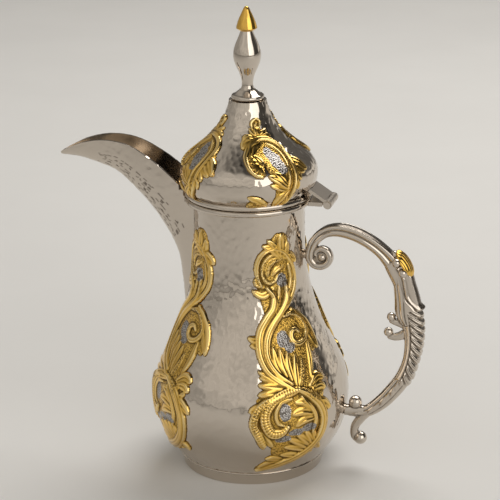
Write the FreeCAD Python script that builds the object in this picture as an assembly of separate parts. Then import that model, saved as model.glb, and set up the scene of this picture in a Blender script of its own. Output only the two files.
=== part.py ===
import FreeCAD, Part
import math
import os
from FreeCAD import Vector

# Dallah coffee pot: a hammered vessel with an open beak spout, a cast leaf handle and a hinged onion lid.
# Millimetres, +Z up, origin at the centre of the foot's underside, spout towards -X and handle towards +X.

# Foot and vessel
foot_radius = 47.7
foot_flare = 1.1
foot_lip = 1.5
foot_height = 9.0
foot_wall = 1.8
base_plate_thickness = 1.5
body_wall = 1.6
body_base_lean = 0.79
belly_radius = 65.8
belly_height = 51.0
flank_radius = 50.3
flank_height = 96.0
flank_slope = 0.43
neck_radius = 36.7
waist_height = 160.0
neck_height = 184.0
curve_pull = 0.37

# Rims and lid
rim_radius = 42.5
rim_thickness = 3.9
lid_rim_thickness = 3.8
lid_gap = 0.25
skirt_clearance = 0.9
skirt_wall = 1.5
skirt_depth = 6.5
lid_wall = 1.5
lid_base_inset = 1.7
lid_base_lean = 1.1
lid_bulge_radius = 45.3
lid_bulge_rise = 12.5
lid_shoulder_radius = 33.5
lid_shoulder_rise = 28.3
lid_shoulder_slope = 1.38
lid_top_radius = 12.2
lid_top_rise = 60.3
lid_top_slope = 0.22

# Finial
collar_radius = 10.8
collar_bead = 3.4
collar_cone = 3.0
finial_foot_radius = 4.9
finial_neck_radius = 3.7
finial_neck_rise = 4.0
finial_bulb_radius = 9.0
finial_bulb_rise = 22.5
finial_top_radius = 4.0
finial_length = 38.5
tip_radius = 6.3
tip_lip_rise = 1.8
tip_length = 15.8
tip_point_radius = 0.8
stud_radius = 1.9
stud_bite = 6.0
washer_radius = 5.0
washer_thickness = 0.8
nut_across_flats = 7.0
nut_thickness = 3.2
stud_end = 2.0

# Hinge
hinge_reach = 54.9
hinge_drop = 1.5
hinge_width = 20.0
pin_radius = 1.3
knuckle_radius = 2.9
knuckle_width = 6.8
pot_leaf_width = 16.0
pot_leaf_thickness = 2.6
lid_leaf_thickness = 1.9
lid_leaf_slope = 33.0

# Spout: keel and lip are measured outwards from the neck wall and upwards from the rim's underside
spout_wall = 1.4
spout_keel = ((7.4, -73.0), (8.5, -56.0), (10.9, -39.0), (17.3, -24.0), (27.3, -8.5), (39.8, 5.0),
              (53.3, 16.4), (67.3, 21.6), (79.3, 24.6), (89.3, 25.2), (92.6, 25.3))
spout_lip = ((-6.0, -52.0), (-6.7, -32.0), (-6.7, -14.0), (-2.7, 0.5), (10.3, 14.6), (26.3, 27.0),
             (43.8, 35.8), (60.3, 37.6), (75.3, 34.8), (87.8, 29.0), (92.5, 26.4))
spout_width = (16.0, 19.0, 21.5, 24.5, 27.0, 23.6, 19.5, 17.0, 14.2, 6.0, 1.8)
pour_slot_bottom = 140.0
pour_slot_top = 172.0
pour_slot_width = 11.0
strainer_thickness = 0.8
strainer_margin = 3.0
strainer_hole_radius = 1.5
strainer_rows = 4

# Handle: arm measured from the upper joint on the neck, grip measured from the lower joint on the belly
upper_joint_height = 150.0
lower_joint_height = 40.0
pad_radius = 4.2
volute_radius = 9.2
volute_reach = 10.7
volute_drop = 1.8
volute_eye_radius = 4.2
arm_half_width = 4.6
arm_path = ((4.9, -0.5, 90.0, 3.4), (5.9, 6.2, 72.0, 3.6), (9.2, 11.2, 48.0, 3.8), (14.0, 15.2, 28.0, 4.2),
            (20.6, 17.3, 8.0, 4.7), (28.0, 17.1, -9.0, 5.1), (35.2, 15.2, -21.0, 5.2), (44.0, 11.0, -30.0, 5.2),
            (53.0, 4.4, -40.0, 5.4), (57.8, -0.6, -48.0, 6.0))
rosette_joint = (61.8, -5.2, -57.0, 6.4)
grip_half_width = 5.4
grip_path = ((40.6, 89.0, -78.0, 7.2), (43.0, 76.0, -84.0, 7.6), (45.4, 64.0, -88.0, 6.9), (45.9, 54.0, -94.0, 6.1),
             (44.0, 40.0, -105.0, 5.2), (39.6, 27.4, -118.0, 5.4), (31.8, 15.9, -130.0, 5.3),
             (23.9, 7.1, -137.0, 4.9), (14.0, 0.1, -151.0, 3.9), (1.6, -1.2, -175.0, 2.7))
sheath_outline = ((31.2, 99.5), (32.0, 92.0), (32.9, 84.0), (32.7, 75.0), (33.8, 69.0), (38.5, 65.0), (46.0, 64.0),
                  (52.6, 72.0), (53.0, 77.0), (51.0, 86.0), (47.6, 95.0), (39.5, 100.0))
sheath_half_width = 4.6
tail_path = ((15.5, 2.2, -115.0, 3.4), (12.6, -4.5, -112.0, 3.6), (9.4, -12.0, -98.0, 3.4))
tail_ball = (9.6, -19.4, 4.6)
joint_ball = (6.7, 6.0, 4.4)
inner_curls = ((30.7, 69.7, 3.0), (28.8, 58.3, 3.2))
curl_stem_radius = 1.7
flute_share = 0.72
leaf_count = 9
leaf_half_width = 4.2
leaf_proud = 0.6
leaf_swell = 1.3
leaf_turn = 33.0
leaf_lip_length = 3.2
rosette_radius = 10.4
rosette_seat = 4.6
rosette_backing = 1.6
rosette_ball_radius = 2.8
rosette_ball_count = 7
boss_thickness = 1.8
boss_dome_radius = 8.4
boss_dome_rise = 2.0
boss_notch = 1.2
boss_petal_count = 12
screw_radius = 1.6
screw_head_radius = 3.4
screw_head_height = 1.8
screw_bite = 9.0

# Relief ornaments
ornament_angle = 45.0
ornament_gap = 0.15
ornament_ground = 1.2
ornament_overlap = 0.5
ornament_relief = 2.5

# Fits
solder_gap = 0.1
stud_clearance = 0.1
pin_clearance = 0.06
hinge_clearance = 0.35
lid_swing_clearance = 1.0

# Levels that follow from the sizes above
rim_top = neck_height + rim_thickness
lid_seat = rim_top + lid_gap
lid_base = lid_seat + lid_rim_thickness
lid_top = lid_base + lid_top_rise
collar_top = lid_top + collar_bead + collar_cone
finial_top = collar_top + finial_length
mouth_radius = neck_radius - body_wall
body_base_radius = foot_radius + foot_flare + foot_lip - 0.3
hinge_height = lid_seat - hinge_drop
up = Vector(0, 0, 1)
origin = Vector(0, 0, 0)


# Outlines and solids of revolution

def station(radius, height, out, rise):
    # A point of a turned outline and the direction the outline takes there
    heading = Vector(out, 0, rise)
    heading.normalize()
    return Vector(radius, 0, height), heading


def offset(stations, distance):
    # The same outline moved outwards along its normal
    moved = []
    for point, heading in stations:
        normal = Vector(heading.z, 0, -heading.x)
        moved.append((point + normal * distance, heading))
    return moved


def outline(stations):
    # One smooth edge through the stations
    spans = []
    for (start, leave), (end, arrive) in zip(stations, stations[1:]):
        pull = curve_pull * (end - start).Length
        curve = Part.BezierCurve()
        curve.setPoles([start, start + leave * pull, end - arrive * pull, end])
        spans.append(curve.toBSpline())
    whole = spans[0]
    for span in spans[1:]:
        whole.join(span)
    return [whole.toShape()]


def path(*points):
    # Straight edges through (radius, height) points, leaving out steps of no length
    corners = [Vector(radius, 0, height) for radius, height in points]
    steps = zip(corners, corners[1:])
    return [Part.makeLine(start, end) for start, end in steps if (end - start).Length > 0.001]


def turned(edges, angle=360.0):
    # Solid of revolution about the vertical axis, centred on the XZ plane when it is a part turn
    face = Part.Face(Part.Wire(Part.__sortEdges__(edges)))
    if angle < 360.0:
        face.rotate(origin, up, -angle / 2)
    return face.revolve(origin, up, angle)


def ends(stations):
    # First and last point as (radius, height)
    first, last = stations[0][0], stations[-1][0]
    return (first.x, first.z), (last.x, last.z)


def layer(stations, inner, outer, angle=360.0):
    # Solid between two offsets of a turned outline
    inside = offset(stations, inner)
    outside = offset(stations, outer)
    inside_first, inside_last = ends(inside)
    outside_first, outside_last = ends(outside)
    edges = outline(inside) + outline(outside)
    edges += path(inside_first, outside_first) + path(inside_last, outside_last)
    return turned(edges, angle)


def filled(stations, distance, floor, ceiling):
    # Everything inside a turned outline, closed by flat ends
    skin = offset(stations, distance)
    first, last = ends(skin)
    edges = outline(skin) + path(first, (first[0], floor), (0, floor), (0, ceiling), (last[0], ceiling), last)
    return turned(edges)


def body_outline():
    return [station(body_base_radius, foot_height, body_base_lean, 1),
            station(belly_radius, belly_height, 0, 1),
            station(flank_radius, flank_height, -flank_slope, 1),
            station(neck_radius, waist_height, 0, 1),
            station(neck_radius, neck_height, 0, 1)]


def lid_outline():
    return [station(rim_radius - lid_base_inset, lid_base, lid_base_lean, 1),
            station(lid_bulge_radius, lid_base + lid_bulge_rise, 0, 1),
            station(lid_shoulder_radius, lid_base + lid_shoulder_rise, -lid_shoulder_slope, 1),
            station(lid_top_radius, lid_top, -lid_top_slope, 1)]


def surface_radius(height):
    # Radius of the vessel's outside at a height
    skin = Part.Wire(outline(body_outline()))
    level = Part.makeLine(Vector(0, 0, height), Vector(4 * belly_radius, 0, height))
    return skin.distToShape(level)[1][0][0].x


def rod(start, end, radius):
    # Round bar between two points
    return Part.makeCylinder(radius, (end - start).Length, start, end - start)


# Vessel

def foot_ring():
    flare_radius = foot_radius + foot_flare
    lip_radius = flare_radius + foot_lip
    flange_radius = foot_radius - 4 * foot_wall
    edges = path((foot_radius, 0), (flare_radius, foot_height - foot_lip), (lip_radius, foot_height - foot_lip / 2),
                 (lip_radius, foot_height), (flange_radius, foot_height), (flange_radius, foot_height - foot_wall),
                 (foot_radius - foot_wall, foot_height - foot_wall), (foot_radius - foot_wall, 0), (foot_radius, 0))
    return turned(edges)


def base_plate():
    radius = offset(body_outline(), -body_wall)[0][0].x - solder_gap
    return Part.makeCylinder(radius, base_plate_thickness, Vector(0, 0, foot_height))


def vessel_wall():
    # Hammered sheet, trimmed flat where it stands on the foot
    stations = body_outline()
    inside = offset(stations, -body_wall)
    first, last = ends(inside)
    edges = outline(stations) + outline(inside)
    edges += path(ends(stations)[0], (first[0], first[1])) + path(ends(stations)[1], last)
    below = Part.makeBox(4 * belly_radius, 4 * belly_radius, foot_height,
                         Vector(-2 * belly_radius, -2 * belly_radius, 0))
    return turned(edges).cut(below)


def pour_slot(growth):
    # Round-ended slot through the neck behind the spout
    half = pour_slot_width / 2 + growth
    low = pour_slot_bottom + pour_slot_width / 2
    high = pour_slot_top - pour_slot_width / 2
    reach = Vector(-2 * neck_radius, 0, 0)
    slot = Part.makeBox(2 * neck_radius, 2 * half, high - low, Vector(-2 * neck_radius, -half, low))
    for height in (low, high):
        slot = slot.fuse(rod(Vector(0, 0, height), Vector(0, 0, height) + reach, half))
    return slot.removeSplitter()


def body_shell():
    shell = vessel_wall().cut(pour_slot(0))
    for joint in (upper_joint(), lower_joint()):
        shell = shell.cut(rod(Vector(0, 0, joint.z), joint + Vector(1, 0, 0), screw_radius + stud_clearance))
    return shell


def strainer():
    # Pierced plate that follows the inside of the neck and covers the pour slot
    plate = layer(body_outline(), -body_wall - solder_gap - strainer_thickness, -body_wall - solder_gap)
    plate = plate.common(pour_slot(strainer_margin))
    first = pour_slot_bottom + pour_slot_width / 2
    pitch = (pour_slot_top - pour_slot_bottom - pour_slot_width) / (strainer_rows - 1)
    for row in range(strainer_rows):
        columns = (-0.5, 0.5) if row % 2 else (0.0,)
        for column in columns:
            across = column * pour_slot_width / 2
            start = Vector(0, across, first + row * pitch)
            plate = plate.cut(rod(start, start - Vector(2 * neck_radius, 0, 0), strainer_hole_radius))
    return plate


def bead_edge(radius, bottom, top):
    # Half-round outer edge of a rim
    half = (top - bottom) / 2
    arc = Part.Arc(Vector(radius - half, 0, bottom), Vector(radius, 0, bottom + half), Vector(radius - half, 0, top))
    return arc.toShape()


def mouth_rim():
    land = rim_radius - rim_thickness / 2
    edges = path((land, neck_height), (mouth_radius, neck_height), (mouth_radius, rim_top), (land, rim_top))
    return turned(edges + [bead_edge(rim_radius, neck_height, rim_top)])


# Spout

def spout_section(keel, lip, width):
    # Hairpin section of the trough in the plane of its keel and lips
    rise = lip - keel
    depth = rise.Length
    wall = min(spout_wall, 0.3 * width, 0.3 * depth)
    rise.normalize()
    edges = []
    for side in (1, -1):
        across = Vector(0, side, 0)
        rim_out = lip + across * (width / 2)
        rim_in = rim_out - across * wall
        floor = keel + rise * wall
        curve = Part.BezierCurve()
        curve.setPoles([keel, keel + across * (0.42 * width), rim_out - rise * (0.5 * depth), rim_out])
        inner = Part.BezierCurve()
        inner.setPoles([floor, floor + across * (0.42 * width - wall), rim_in - rise * (0.5 * depth), rim_in])
        edges += [curve.toShape(), Part.makeLine(rim_out, rim_in), inner.toShape()]
    return Part.Wire(Part.__sortEdges__(edges))


def spout():
    base = Vector(-neck_radius, 0, neck_height)
    sections = []
    for keel, lip, width in zip(spout_keel, spout_lip, spout_width):
        low = base + Vector(-keel[0], 0, keel[1])
        high = base + Vector(-lip[0], 0, lip[1])
        sections.append(spout_section(low, high, width))
    trough = Part.makeLoft(sections, True, False)
    vessel = filled(body_outline(), solder_gap, 0, neck_height)
    rim = Part.makeCylinder(rim_radius + solder_gap, rim_thickness, Vector(0, 0, neck_height))
    swing_low = Part.makeCylinder(rim_radius + lid_swing_clearance, lid_bulge_rise, Vector(0, 0, rim_top))
    swing = Part.makeCylinder(lid_bulge_radius + lid_swing_clearance, lid_top_rise, Vector(0, 0, lid_base))
    return trough.cut(vessel).cut(rim).cut(swing_low).cut(swing)


# Handle

def upper_joint():
    return Vector(surface_radius(upper_joint_height), 0, upper_joint_height)


def lower_joint():
    return Vector(surface_radius(lower_joint_height), 0, lower_joint_height)


def heading_of(angle):
    return Vector(math.cos(math.radians(angle)), 0, math.sin(math.radians(angle)))


def bar_section(centre, angle, half_depth, half_width):
    # Section of a cast bar: rounded back and front, with a wide flute along each side
    back = heading_of(angle + 90)

    def at(across, deep):
        return centre + Vector(0, across * half_width, 0) + back * (deep * half_depth)

    corners = [at(-1, 0.75), at(1, 0.75), at(1, -0.75), at(-1, -0.75)]
    crowns = [at(0, 1), at(flute_share, 0), at(0, -1), at(-flute_share, 0)]
    edges = []
    for index, crown in enumerate(crowns):
        edges.append(Part.Arc(corners[index], crown, corners[(index + 1) % 4]).toShape())
    return Part.Wire(edges)


def bar(base, rows, half_width):
    # Cast bar through rows of (out, up, heading, half depth) measured from a base point
    sections = [bar_section(base + Vector(out, 0, rise), angle, half_depth, half_width)
                for out, rise, angle, half_depth in rows]
    return Part.makeLoft(sections, True, False)


def rosette_axis():
    return heading_of(rosette_joint[2] + 90)


def joint_section_row(base):
    # The arm's last section, as seen from another base point
    here = upper_joint() + Vector(rosette_joint[0], 0, rosette_joint[1])
    return (here.x - base.x, here.z - base.z, rosette_joint[2], rosette_joint[3])


def rosette_seat_point():
    here = upper_joint() + Vector(rosette_joint[0], 0, rosette_joint[1])
    return here + rosette_axis() * rosette_seat


def rosette_room():
    # Flat round seat for the rosette across the joint of arm and grip
    room = rosette_radius + rosette_ball_radius
    return Part.makeCylinder(room, 2 * rosette_radius, rosette_seat_point(), rosette_axis())


def screw_hole(joint):
    return rod(joint - Vector(body_wall, 0, 0), joint + Vector(screw_bite + 0.5, 0, 0), screw_radius + stud_clearance)


def vessel_room():
    return filled(body_outline(), solder_gap, 0, neck_height)


def handle_arm():
    joint = upper_joint()
    rows = list(arm_path) + [joint_section_row(joint)]
    arm = bar(joint, rows, arm_half_width)
    eye = joint + Vector(volute_reach, 0, -volute_drop)
    disc = Part.makeCylinder(volute_radius, 1.6 * arm_half_width, eye - Vector(0, 0.8 * arm_half_width, 0), Vector(0, 1, 0))
    for side in (-1, 1):
        disc = disc.fuse(Part.makeSphere(volute_eye_radius, eye + Vector(0, side * 0.35 * arm_half_width, 0)))
    pad = rod(joint - Vector(body_wall, 0, 0), eye, pad_radius)
    arm = arm.fuse([disc, pad])
    return arm.cut([vessel_room(), rosette_room(), screw_hole(joint)])


def leaf_crest(base):
    # Back of the leaf in the handle's plane: a pointed lip at the top, then one arc for each leaflet
    rows = grip_path[1:6]
    core = []
    notches = []
    for index in range(leaf_count + 1):
        place = index * (len(rows) - 1) / leaf_count
        step = min(int(place), len(rows) - 2)
        part = place - step
        out, rise, angle, half_depth = [a + (b - a) * part for a, b in zip(rows[step], rows[step + 1])]
        middle = base + Vector(out, 0, rise)
        core.append(middle)
        notches.append(middle + heading_of(angle + 90) * (half_depth + leaf_proud))
    edges = []
    for start, end in zip(notches, notches[1:]):
        swell = heading_of(math.degrees(math.atan2(end.z - start.z, end.x - start.x)) + 90) * leaf_swell
        edges.append(Part.Arc(start, start * 0.7 + end * 0.3 + swell, end).toShape())
    lip = notches[0] + heading_of(rows[0][2] + 90 + leaf_turn) * leaf_lip_length
    edges.append(Part.makePolygon([notches[-1]] + core[::-1] + [lip, notches[0]]))
    face = Part.Face(Part.Wire([edge for shape in edges for edge in shape.Edges]))
    face.translate(Vector(0, -leaf_half_width, 0))
    return face.extrude(Vector(0, 2 * leaf_half_width, 0))


def leaf_sheath(base):
    # Wide sheath around the top of the grip: a smooth closed outline in the handle's plane
    curve = Part.BSplineCurve()
    curve.interpolate([base + Vector(out, -sheath_half_width, rise) for out, rise in sheath_outline], True)
    face = Part.Face(Part.Wire(curve.toShape()))
    return face.extrude(Vector(0, 2 * sheath_half_width, 0))


def handle_grip():
    joint = lower_joint()
    grip = bar(joint, [joint_section_row(joint)] + list(grip_path), grip_half_width)
    tail = bar(joint, tail_path, 0.7 * grip_half_width)
    pieces = [tail, rod(joint - Vector(body_wall, 0, 0), joint + Vector(tail_path[0][0], 0, 0), pad_radius)]
    for out, rise, radius in (tail_ball, joint_ball) + inner_curls:
        pieces.append(Part.makeSphere(radius, joint + Vector(out, 0, rise)))
    last_out, last_rise = tail_path[-1][:2]
    pieces.append(rod(joint + Vector(last_out, 0, last_rise), joint + Vector(tail_ball[0], 0, tail_ball[1]),
                      tail_path[-1][3]))
    root = joint + Vector(grip_path[2][0], 0, grip_path[2][1])
    for out, rise, radius in inner_curls:
        pieces.append(rod(joint + Vector(out, 0, rise), root, curl_stem_radius))
    grip = grip.fuse(pieces + [leaf_crest(joint), leaf_sheath(joint)])
    return grip.cut([vessel_room(), rosette_room(), screw_hole(joint)])


def around_axis(shape, centre, axis, count, turn=0.0):
    # Copies spaced evenly about an axis
    copies = []
    for index in range(count):
        copy = shape.copy()
        copy.rotate(centre, axis, turn + index * 360.0 / count)
        copies.append(copy)
    return copies


def rosette_petals():
    seat = rosette_seat_point()
    axis = rosette_axis()
    plate = Part.makeCylinder(rosette_radius - rosette_ball_radius / 2, rosette_backing, seat, axis)
    arm = rosette_radius - rosette_ball_radius
    ball = Part.makeSphere(rosette_ball_radius, seat + Vector(0, arm, 0))
    petals = plate.fuse(around_axis(ball, seat, axis, rosette_ball_count))
    side = 4 * rosette_radius
    behind = Part.makeCylinder(side, side, seat - axis * side, axis)
    ahead = Part.makeCylinder(side, side, seat + axis * rosette_backing, axis)
    return petals.cut([behind, ahead])


def rosette_boss():
    # Gold disc with a scalloped edge and a domed middle
    axis = rosette_axis()
    base = rosette_seat_point() + axis * (rosette_backing + 0.02)
    across = Vector(0, 1, 0).cross(axis)
    corners = []
    for index in range(2 * boss_petal_count + 1):
        turn = math.pi * index / boss_petal_count
        reach = rosette_radius if index % 2 else rosette_radius - boss_notch
        corners.append(base + Vector(0, reach * math.cos(turn), 0) + across * (reach * math.sin(turn)))
    edges = []
    for index in range(boss_petal_count):
        start, crown, end = corners[2 * index:2 * index + 3]
        edges.append(Part.Arc(start, crown, end).toShape())
    disc = Part.Face(Part.Wire(edges)).extrude(axis * boss_thickness)
    sphere_radius = (boss_dome_radius ** 2 / boss_dome_rise + boss_dome_rise) / 2
    dome = Part.makeSphere(sphere_radius, base + axis * (boss_thickness + boss_dome_rise - sphere_radius))
    above = Part.makeCylinder(rosette_radius, rosette_radius, base + axis * boss_thickness, axis)
    return disc.fuse(dome.common(above))


def handle_screw(joint):
    # Pan head inside the wall, shank into the casting
    inside = joint - Vector(body_wall + 0.05, 0, 0)
    shank = rod(inside, joint + Vector(screw_bite, 0, 0), screw_radius)
    head = rod(inside - Vector(screw_head_height, 0, 0), inside, screw_head_radius)
    wall = layer(body_outline(), -body_wall - 0.05, solder_gap)
    return shank.fuse(head.cut(wall)).removeSplitter()


# Hinge

def pin_line(start, end, radius):
    centre = Vector(hinge_reach, start, hinge_height)
    return Part.makeCylinder(radius, end - start, centre, Vector(0, 1, 0))


def slab(points, width):
    # Plate with an XZ outline, centred on the plane of the handle
    corners = [Vector(x, -width / 2, z) for x, z in points]
    face = Part.Face(Part.makePolygon(corners + corners[:1]))
    return face.extrude(Vector(0, width, 0))


def hinge_pin():
    head = hinge_width / 2 + 1.2
    pin = pin_line(-head, head, pin_radius)
    for start in (-head, head - 1.0):
        pin = pin.fuse(pin_line(start, start + 1.0, pin_radius + 0.9))
    return pin.removeSplitter()


def hinge_pot_leaf():
    top = hinge_height + 0.6
    bottom = top - pot_leaf_thickness
    shoulder = hinge_reach - knuckle_radius - hinge_clearance - 0.8
    leaf = slab(((mouth_radius, bottom), (shoulder, bottom), (shoulder, top), (mouth_radius, top)), pot_leaf_width)
    tongue = slab(((mouth_radius, bottom), (hinge_reach, bottom), (hinge_reach, top), (mouth_radius, top)),
                  knuckle_width)
    leaf = leaf.fuse([tongue, pin_line(-knuckle_width / 2, knuckle_width / 2, knuckle_radius)])
    land = rim_radius + solder_gap - rim_thickness / 2
    edges = path((land, neck_height), (0, neck_height), (0, rim_top), (land, rim_top))
    rim = turned(edges + [bead_edge(rim_radius + solder_gap, neck_height, rim_top)])
    bore = pin_line(-hinge_width, hinge_width, pin_radius + 0.02)
    return leaf.cut([rim, bore, vessel_room()])


def hinge_lid_leaf():
    slope = math.tan(math.radians(lid_leaf_slope))
    lean = lid_leaf_thickness / math.cos(math.radians(lid_leaf_slope))
    outer = hinge_height + knuckle_radius - 0.6
    inner_x = mouth_radius
    inner = outer + (hinge_reach - inner_x) * slope
    plate = slab(((hinge_reach, outer - lean), (hinge_reach, outer), (inner_x, inner), (inner_x, inner - lean)),
                 hinge_width)
    leaf = plate.fuse(pin_line(-hinge_width / 2, hinge_width / 2, knuckle_radius))
    gap = knuckle_width / 2 + hinge_clearance
    notch = pin_line(-gap, gap, knuckle_radius + hinge_clearance)
    bore = pin_line(-hinge_width, hinge_width, pin_radius + pin_clearance)
    dome = filled(lid_outline(), solder_gap, lid_base, lid_top)
    rim = Part.makeCylinder(rim_radius + solder_gap, lid_rim_thickness, Vector(0, 0, lid_seat))
    return leaf.cut([notch, bore, dome, rim])


# Lid

def lid_rim():
    skirt = mouth_radius - skirt_clearance
    land = rim_radius - lid_rim_thickness / 2
    low = lid_seat - skirt_depth
    edges = path((land, lid_seat), (skirt, lid_seat), (skirt, low), (skirt - skirt_wall, low),
                 (skirt - skirt_wall, lid_base), (land, lid_base))
    return turned(edges + [bead_edge(rim_radius, lid_seat, lid_base)])


def lid_dome():
    stations = lid_outline()
    inside = offset(stations, -lid_wall)
    ceiling = Vector(lid_top_radius - lid_wall, 0, lid_top - lid_wall)
    inside[-1] = (ceiling, inside[-1][1])
    hole = stud_radius + stud_clearance
    edges = outline(stations) + outline(inside)
    edges += path(ends(stations)[0], ends(inside)[0])
    edges += path(ends(stations)[1], (hole, lid_top), (hole, lid_top - lid_wall), ends(inside)[1])
    below = Part.makeCylinder(2 * rim_radius, lid_rim_thickness, Vector(0, 0, lid_seat))
    return turned(edges).cut(below)


def bored(shape):
    return shape.cut(rod(Vector(0, 0, lid_base), Vector(0, 0, finial_top + stud_bite + 0.3), stud_radius + stud_clearance))


def finial_collar():
    bead_top = lid_top + collar_bead
    half = collar_bead / 2
    edges = path((collar_radius - half, lid_top), (0, lid_top), (0, collar_top), (finial_foot_radius, collar_top),
                 (collar_radius - half, bead_top))
    return bored(turned(edges + [bead_edge(collar_radius, lid_top, bead_top)]))


def finial_bulb():
    stations = [station(finial_foot_radius, collar_top, -0.9, 1),
                station(finial_neck_radius, collar_top + finial_neck_rise, 0, 1),
                station(finial_bulb_radius, collar_top + finial_bulb_rise, 0, 1),
                station(finial_top_radius, finial_top, -0.3, 1)]
    first, last = ends(stations)
    edges = outline(stations) + path(first, (0, first[1]), (0, last[1]), last)
    return bored(turned(edges))


def finial_tip():
    lip = finial_top + tip_lip_rise
    peak = finial_top + tip_length
    stations = [station(tip_radius, lip, -0.12, 1), station(tip_point_radius, peak, -0.3, 1)]
    first, last = ends(stations)
    edges = outline(stations)
    edges += path(first, (finial_top_radius + 0.6, finial_top), (0, finial_top), (0, peak), last)
    return bored(turned(edges))


def nut_bottom():
    return lid_top - lid_wall - washer_thickness - nut_thickness


def finial_stud():
    return rod(Vector(0, 0, nut_bottom() - stud_end), Vector(0, 0, finial_top + stud_bite), stud_radius)


def finial_washer():
    low = Vector(0, 0, lid_top - lid_wall - washer_thickness)
    return bored(Part.makeCylinder(washer_radius, washer_thickness, low))


def finial_nut():
    reach = nut_across_flats / math.sqrt(3)
    corners = [Vector(reach * math.cos(math.radians(60 * index)), reach * math.sin(math.radians(60 * index)),
                      nut_bottom()) for index in range(7)]
    return bored(Part.Face(Part.makePolygon(corners)).extrude(Vector(0, 0, nut_thickness)))


# Relief ornaments, drawn as (across, height) on the plane that faces +X

def flat(points):
    return [Vector(0, across, height) for across, height in points]


def blade(points):
    # Closed smooth outline
    curve = Part.BSplineCurve()
    curve.interpolate(flat(points), True)
    return Part.Face(Part.Wire(curve.toShape()))


def ribbon(points, start_width, end_width):
    # Scroll band along a curve, narrowing towards its end
    spine = Part.BSplineCurve()
    spine.interpolate(flat(points))
    sides = ([], [])
    for index, point in enumerate(flat(points)):
        heading = Vector(spine.tangent(spine.parameter(point))[0])
        normal = Vector(0, -heading.z, heading.y)
        normal.normalize()
        half = start_width + (end_width - start_width) * index / (len(points) - 1)
        sides[0].append(point + normal * (half / 2))
        sides[1].append(point - normal * (half / 2))
    edges = []
    for side in sides:
        curve = Part.BSplineCurve()
        curve.interpolate(side)
        edges.append(curve.toShape())
    edges.append(Part.makeLine(sides[0][0], sides[1][0]))
    edges.append(Part.makeLine(sides[0][-1], sides[1][-1]))
    return Part.Face(Part.Wire(Part.__sortEdges__(edges)))


def relief(stations, grounds, raised):
    # Ground plate close to the skin with raised scrolls on it, one solid
    reach = Vector(2 * belly_radius, 0, 0)
    angle = 150.0
    ground_layer = layer(stations, ornament_gap, ornament_ground, angle)
    raised_layer = layer(stations, ornament_overlap, ornament_relief, angle)
    ground = grounds[0].multiFuse(grounds[1:]).removeSplitter().extrude(reach)
    bands = raised[0].fuse(raised[1:]).removeSplitter().extrude(reach)
    return ground_layer.common(ground).fuse(raised_layer.common(bands)).removeSplitter()


def body_ornament():
    # Three scrolls one above the other, with a hook, a bud and leaf tips along the flank side
    upper = blade(((1.6, 169), (13, 151), (12, 130), (-3, 117), (-15, 131), (-16.5, 149), (-7, 164)))
    hook = blade(((-12, 137), (-19.5, 139), (-21, 133.5), (-13, 129)))
    middle = blade(((-4, 120), (12.5, 111), (13, 94), (9, 75), (-4, 66), (-20.5, 81), (-20.5, 103)))
    bud = blade(((-19, 105.5), (-26, 104), (-26.5, 100.5), (-19, 98)))
    tips = blade(((-20, 89), (-25.5, 85), (-24, 80), (-28, 75.5), (-25, 71), (-14, 71), (-14, 84)))
    lower = blade(((4, 71), (25, 51), (19.5, 33), (2, 20), (-20.5, 13), (-15, 32), (-31, 45), (-28, 62)))
    raised = [ribbon(((1.6, 166), (11, 150), (8.5, 130), (-5, 117)), 3.0, 4.6),
              ribbon(((-2, 118), (-17.5, 100), (-15, 80), (3, 69.5)), 5.0, 4.0),
              ribbon(((4, 67), (-22, 61), (-25, 45), (-12, 46)), 5.0, 3.0),
              ribbon(((9, 66), (21, 48), (12, 28.5), (-15, 17)), 5.4, 2.4)]
    return relief(body_outline(), [upper, hook, middle, bud, tips, lower], raised)


def lid_ornament():
    # Oval cartouche with a raised border, a crest above it and leaves at its foot
    cartouche = blade(((-2.5, 232), (-16, 222.5), (-18, 209), (1, 207), (11, 217.5)))
    crest = blade(((-7, 228), (-2.5, 241), (1, 228)))
    foot = blade(((-20, 209), (-23, 197.5), (-2, 195), (11, 205), (-6, 210)))
    side = blade(((8, 215), (19, 210), (7, 206)))
    inner = blade(((-3, 228.5), (-13, 220.5), (-14.5, 211), (-1, 210.5), (6.5, 217)))
    return relief(lid_outline(), [cartouche, crest, foot, side], [cartouche.cut(inner)])


def four_sides(shape):
    # Two mirrored pairs: towards the handle and towards the spout, on both flanks
    near = shape.copy()
    near.rotate(origin, up, -ornament_angle)
    far = near.mirror(origin, Vector(0, 1, 0))
    front_near = near.mirror(origin, Vector(1, 0, 0))
    front_far = far.mirror(origin, Vector(1, 0, 0))
    return {"handle_near": near, "handle_far": far, "spout_near": front_near, "spout_far": front_far}


pieces = {
    "foot_ring": foot_ring(),
    "base_plate": base_plate(),
    "body_shell": body_shell(),
    "strainer": strainer(),
    "mouth_rim": mouth_rim(),
    "spout": spout(),
    "handle_arm": handle_arm(),
    "handle_grip": handle_grip(),
    "rosette_petals": rosette_petals(),
    "rosette_boss": rosette_boss(),
    "handle_screw_upper": handle_screw(upper_joint()),
    "handle_screw_lower": handle_screw(lower_joint()),
    "hinge_pot_leaf": hinge_pot_leaf(),
    "hinge_pin": hinge_pin(),
    "hinge_lid_leaf": hinge_lid_leaf(),
    "lid_rim": lid_rim(),
    "lid_dome": lid_dome(),
    "finial_collar": finial_collar(),
    "finial_bulb": finial_bulb(),
    "finial_tip": finial_tip(),
    "finial_stud": finial_stud(),
    "finial_washer": finial_washer(),
    "finial_nut": finial_nut(),
}
for side, shape in four_sides(body_ornament()).items():
    pieces["body_ornament_" + side] = shape
for side, shape in four_sides(lid_ornament()).items():
    pieces["lid_ornament_" + side] = shape

os.makedirs("parts", exist_ok=True)
for name, shape in pieces.items():
    solid = shape.Solids[0]
    solid.exportStep("parts/" + name + ".step")
    print(name, len(shape.Solids), "solid", round(solid.Volume), "mm3")
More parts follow.
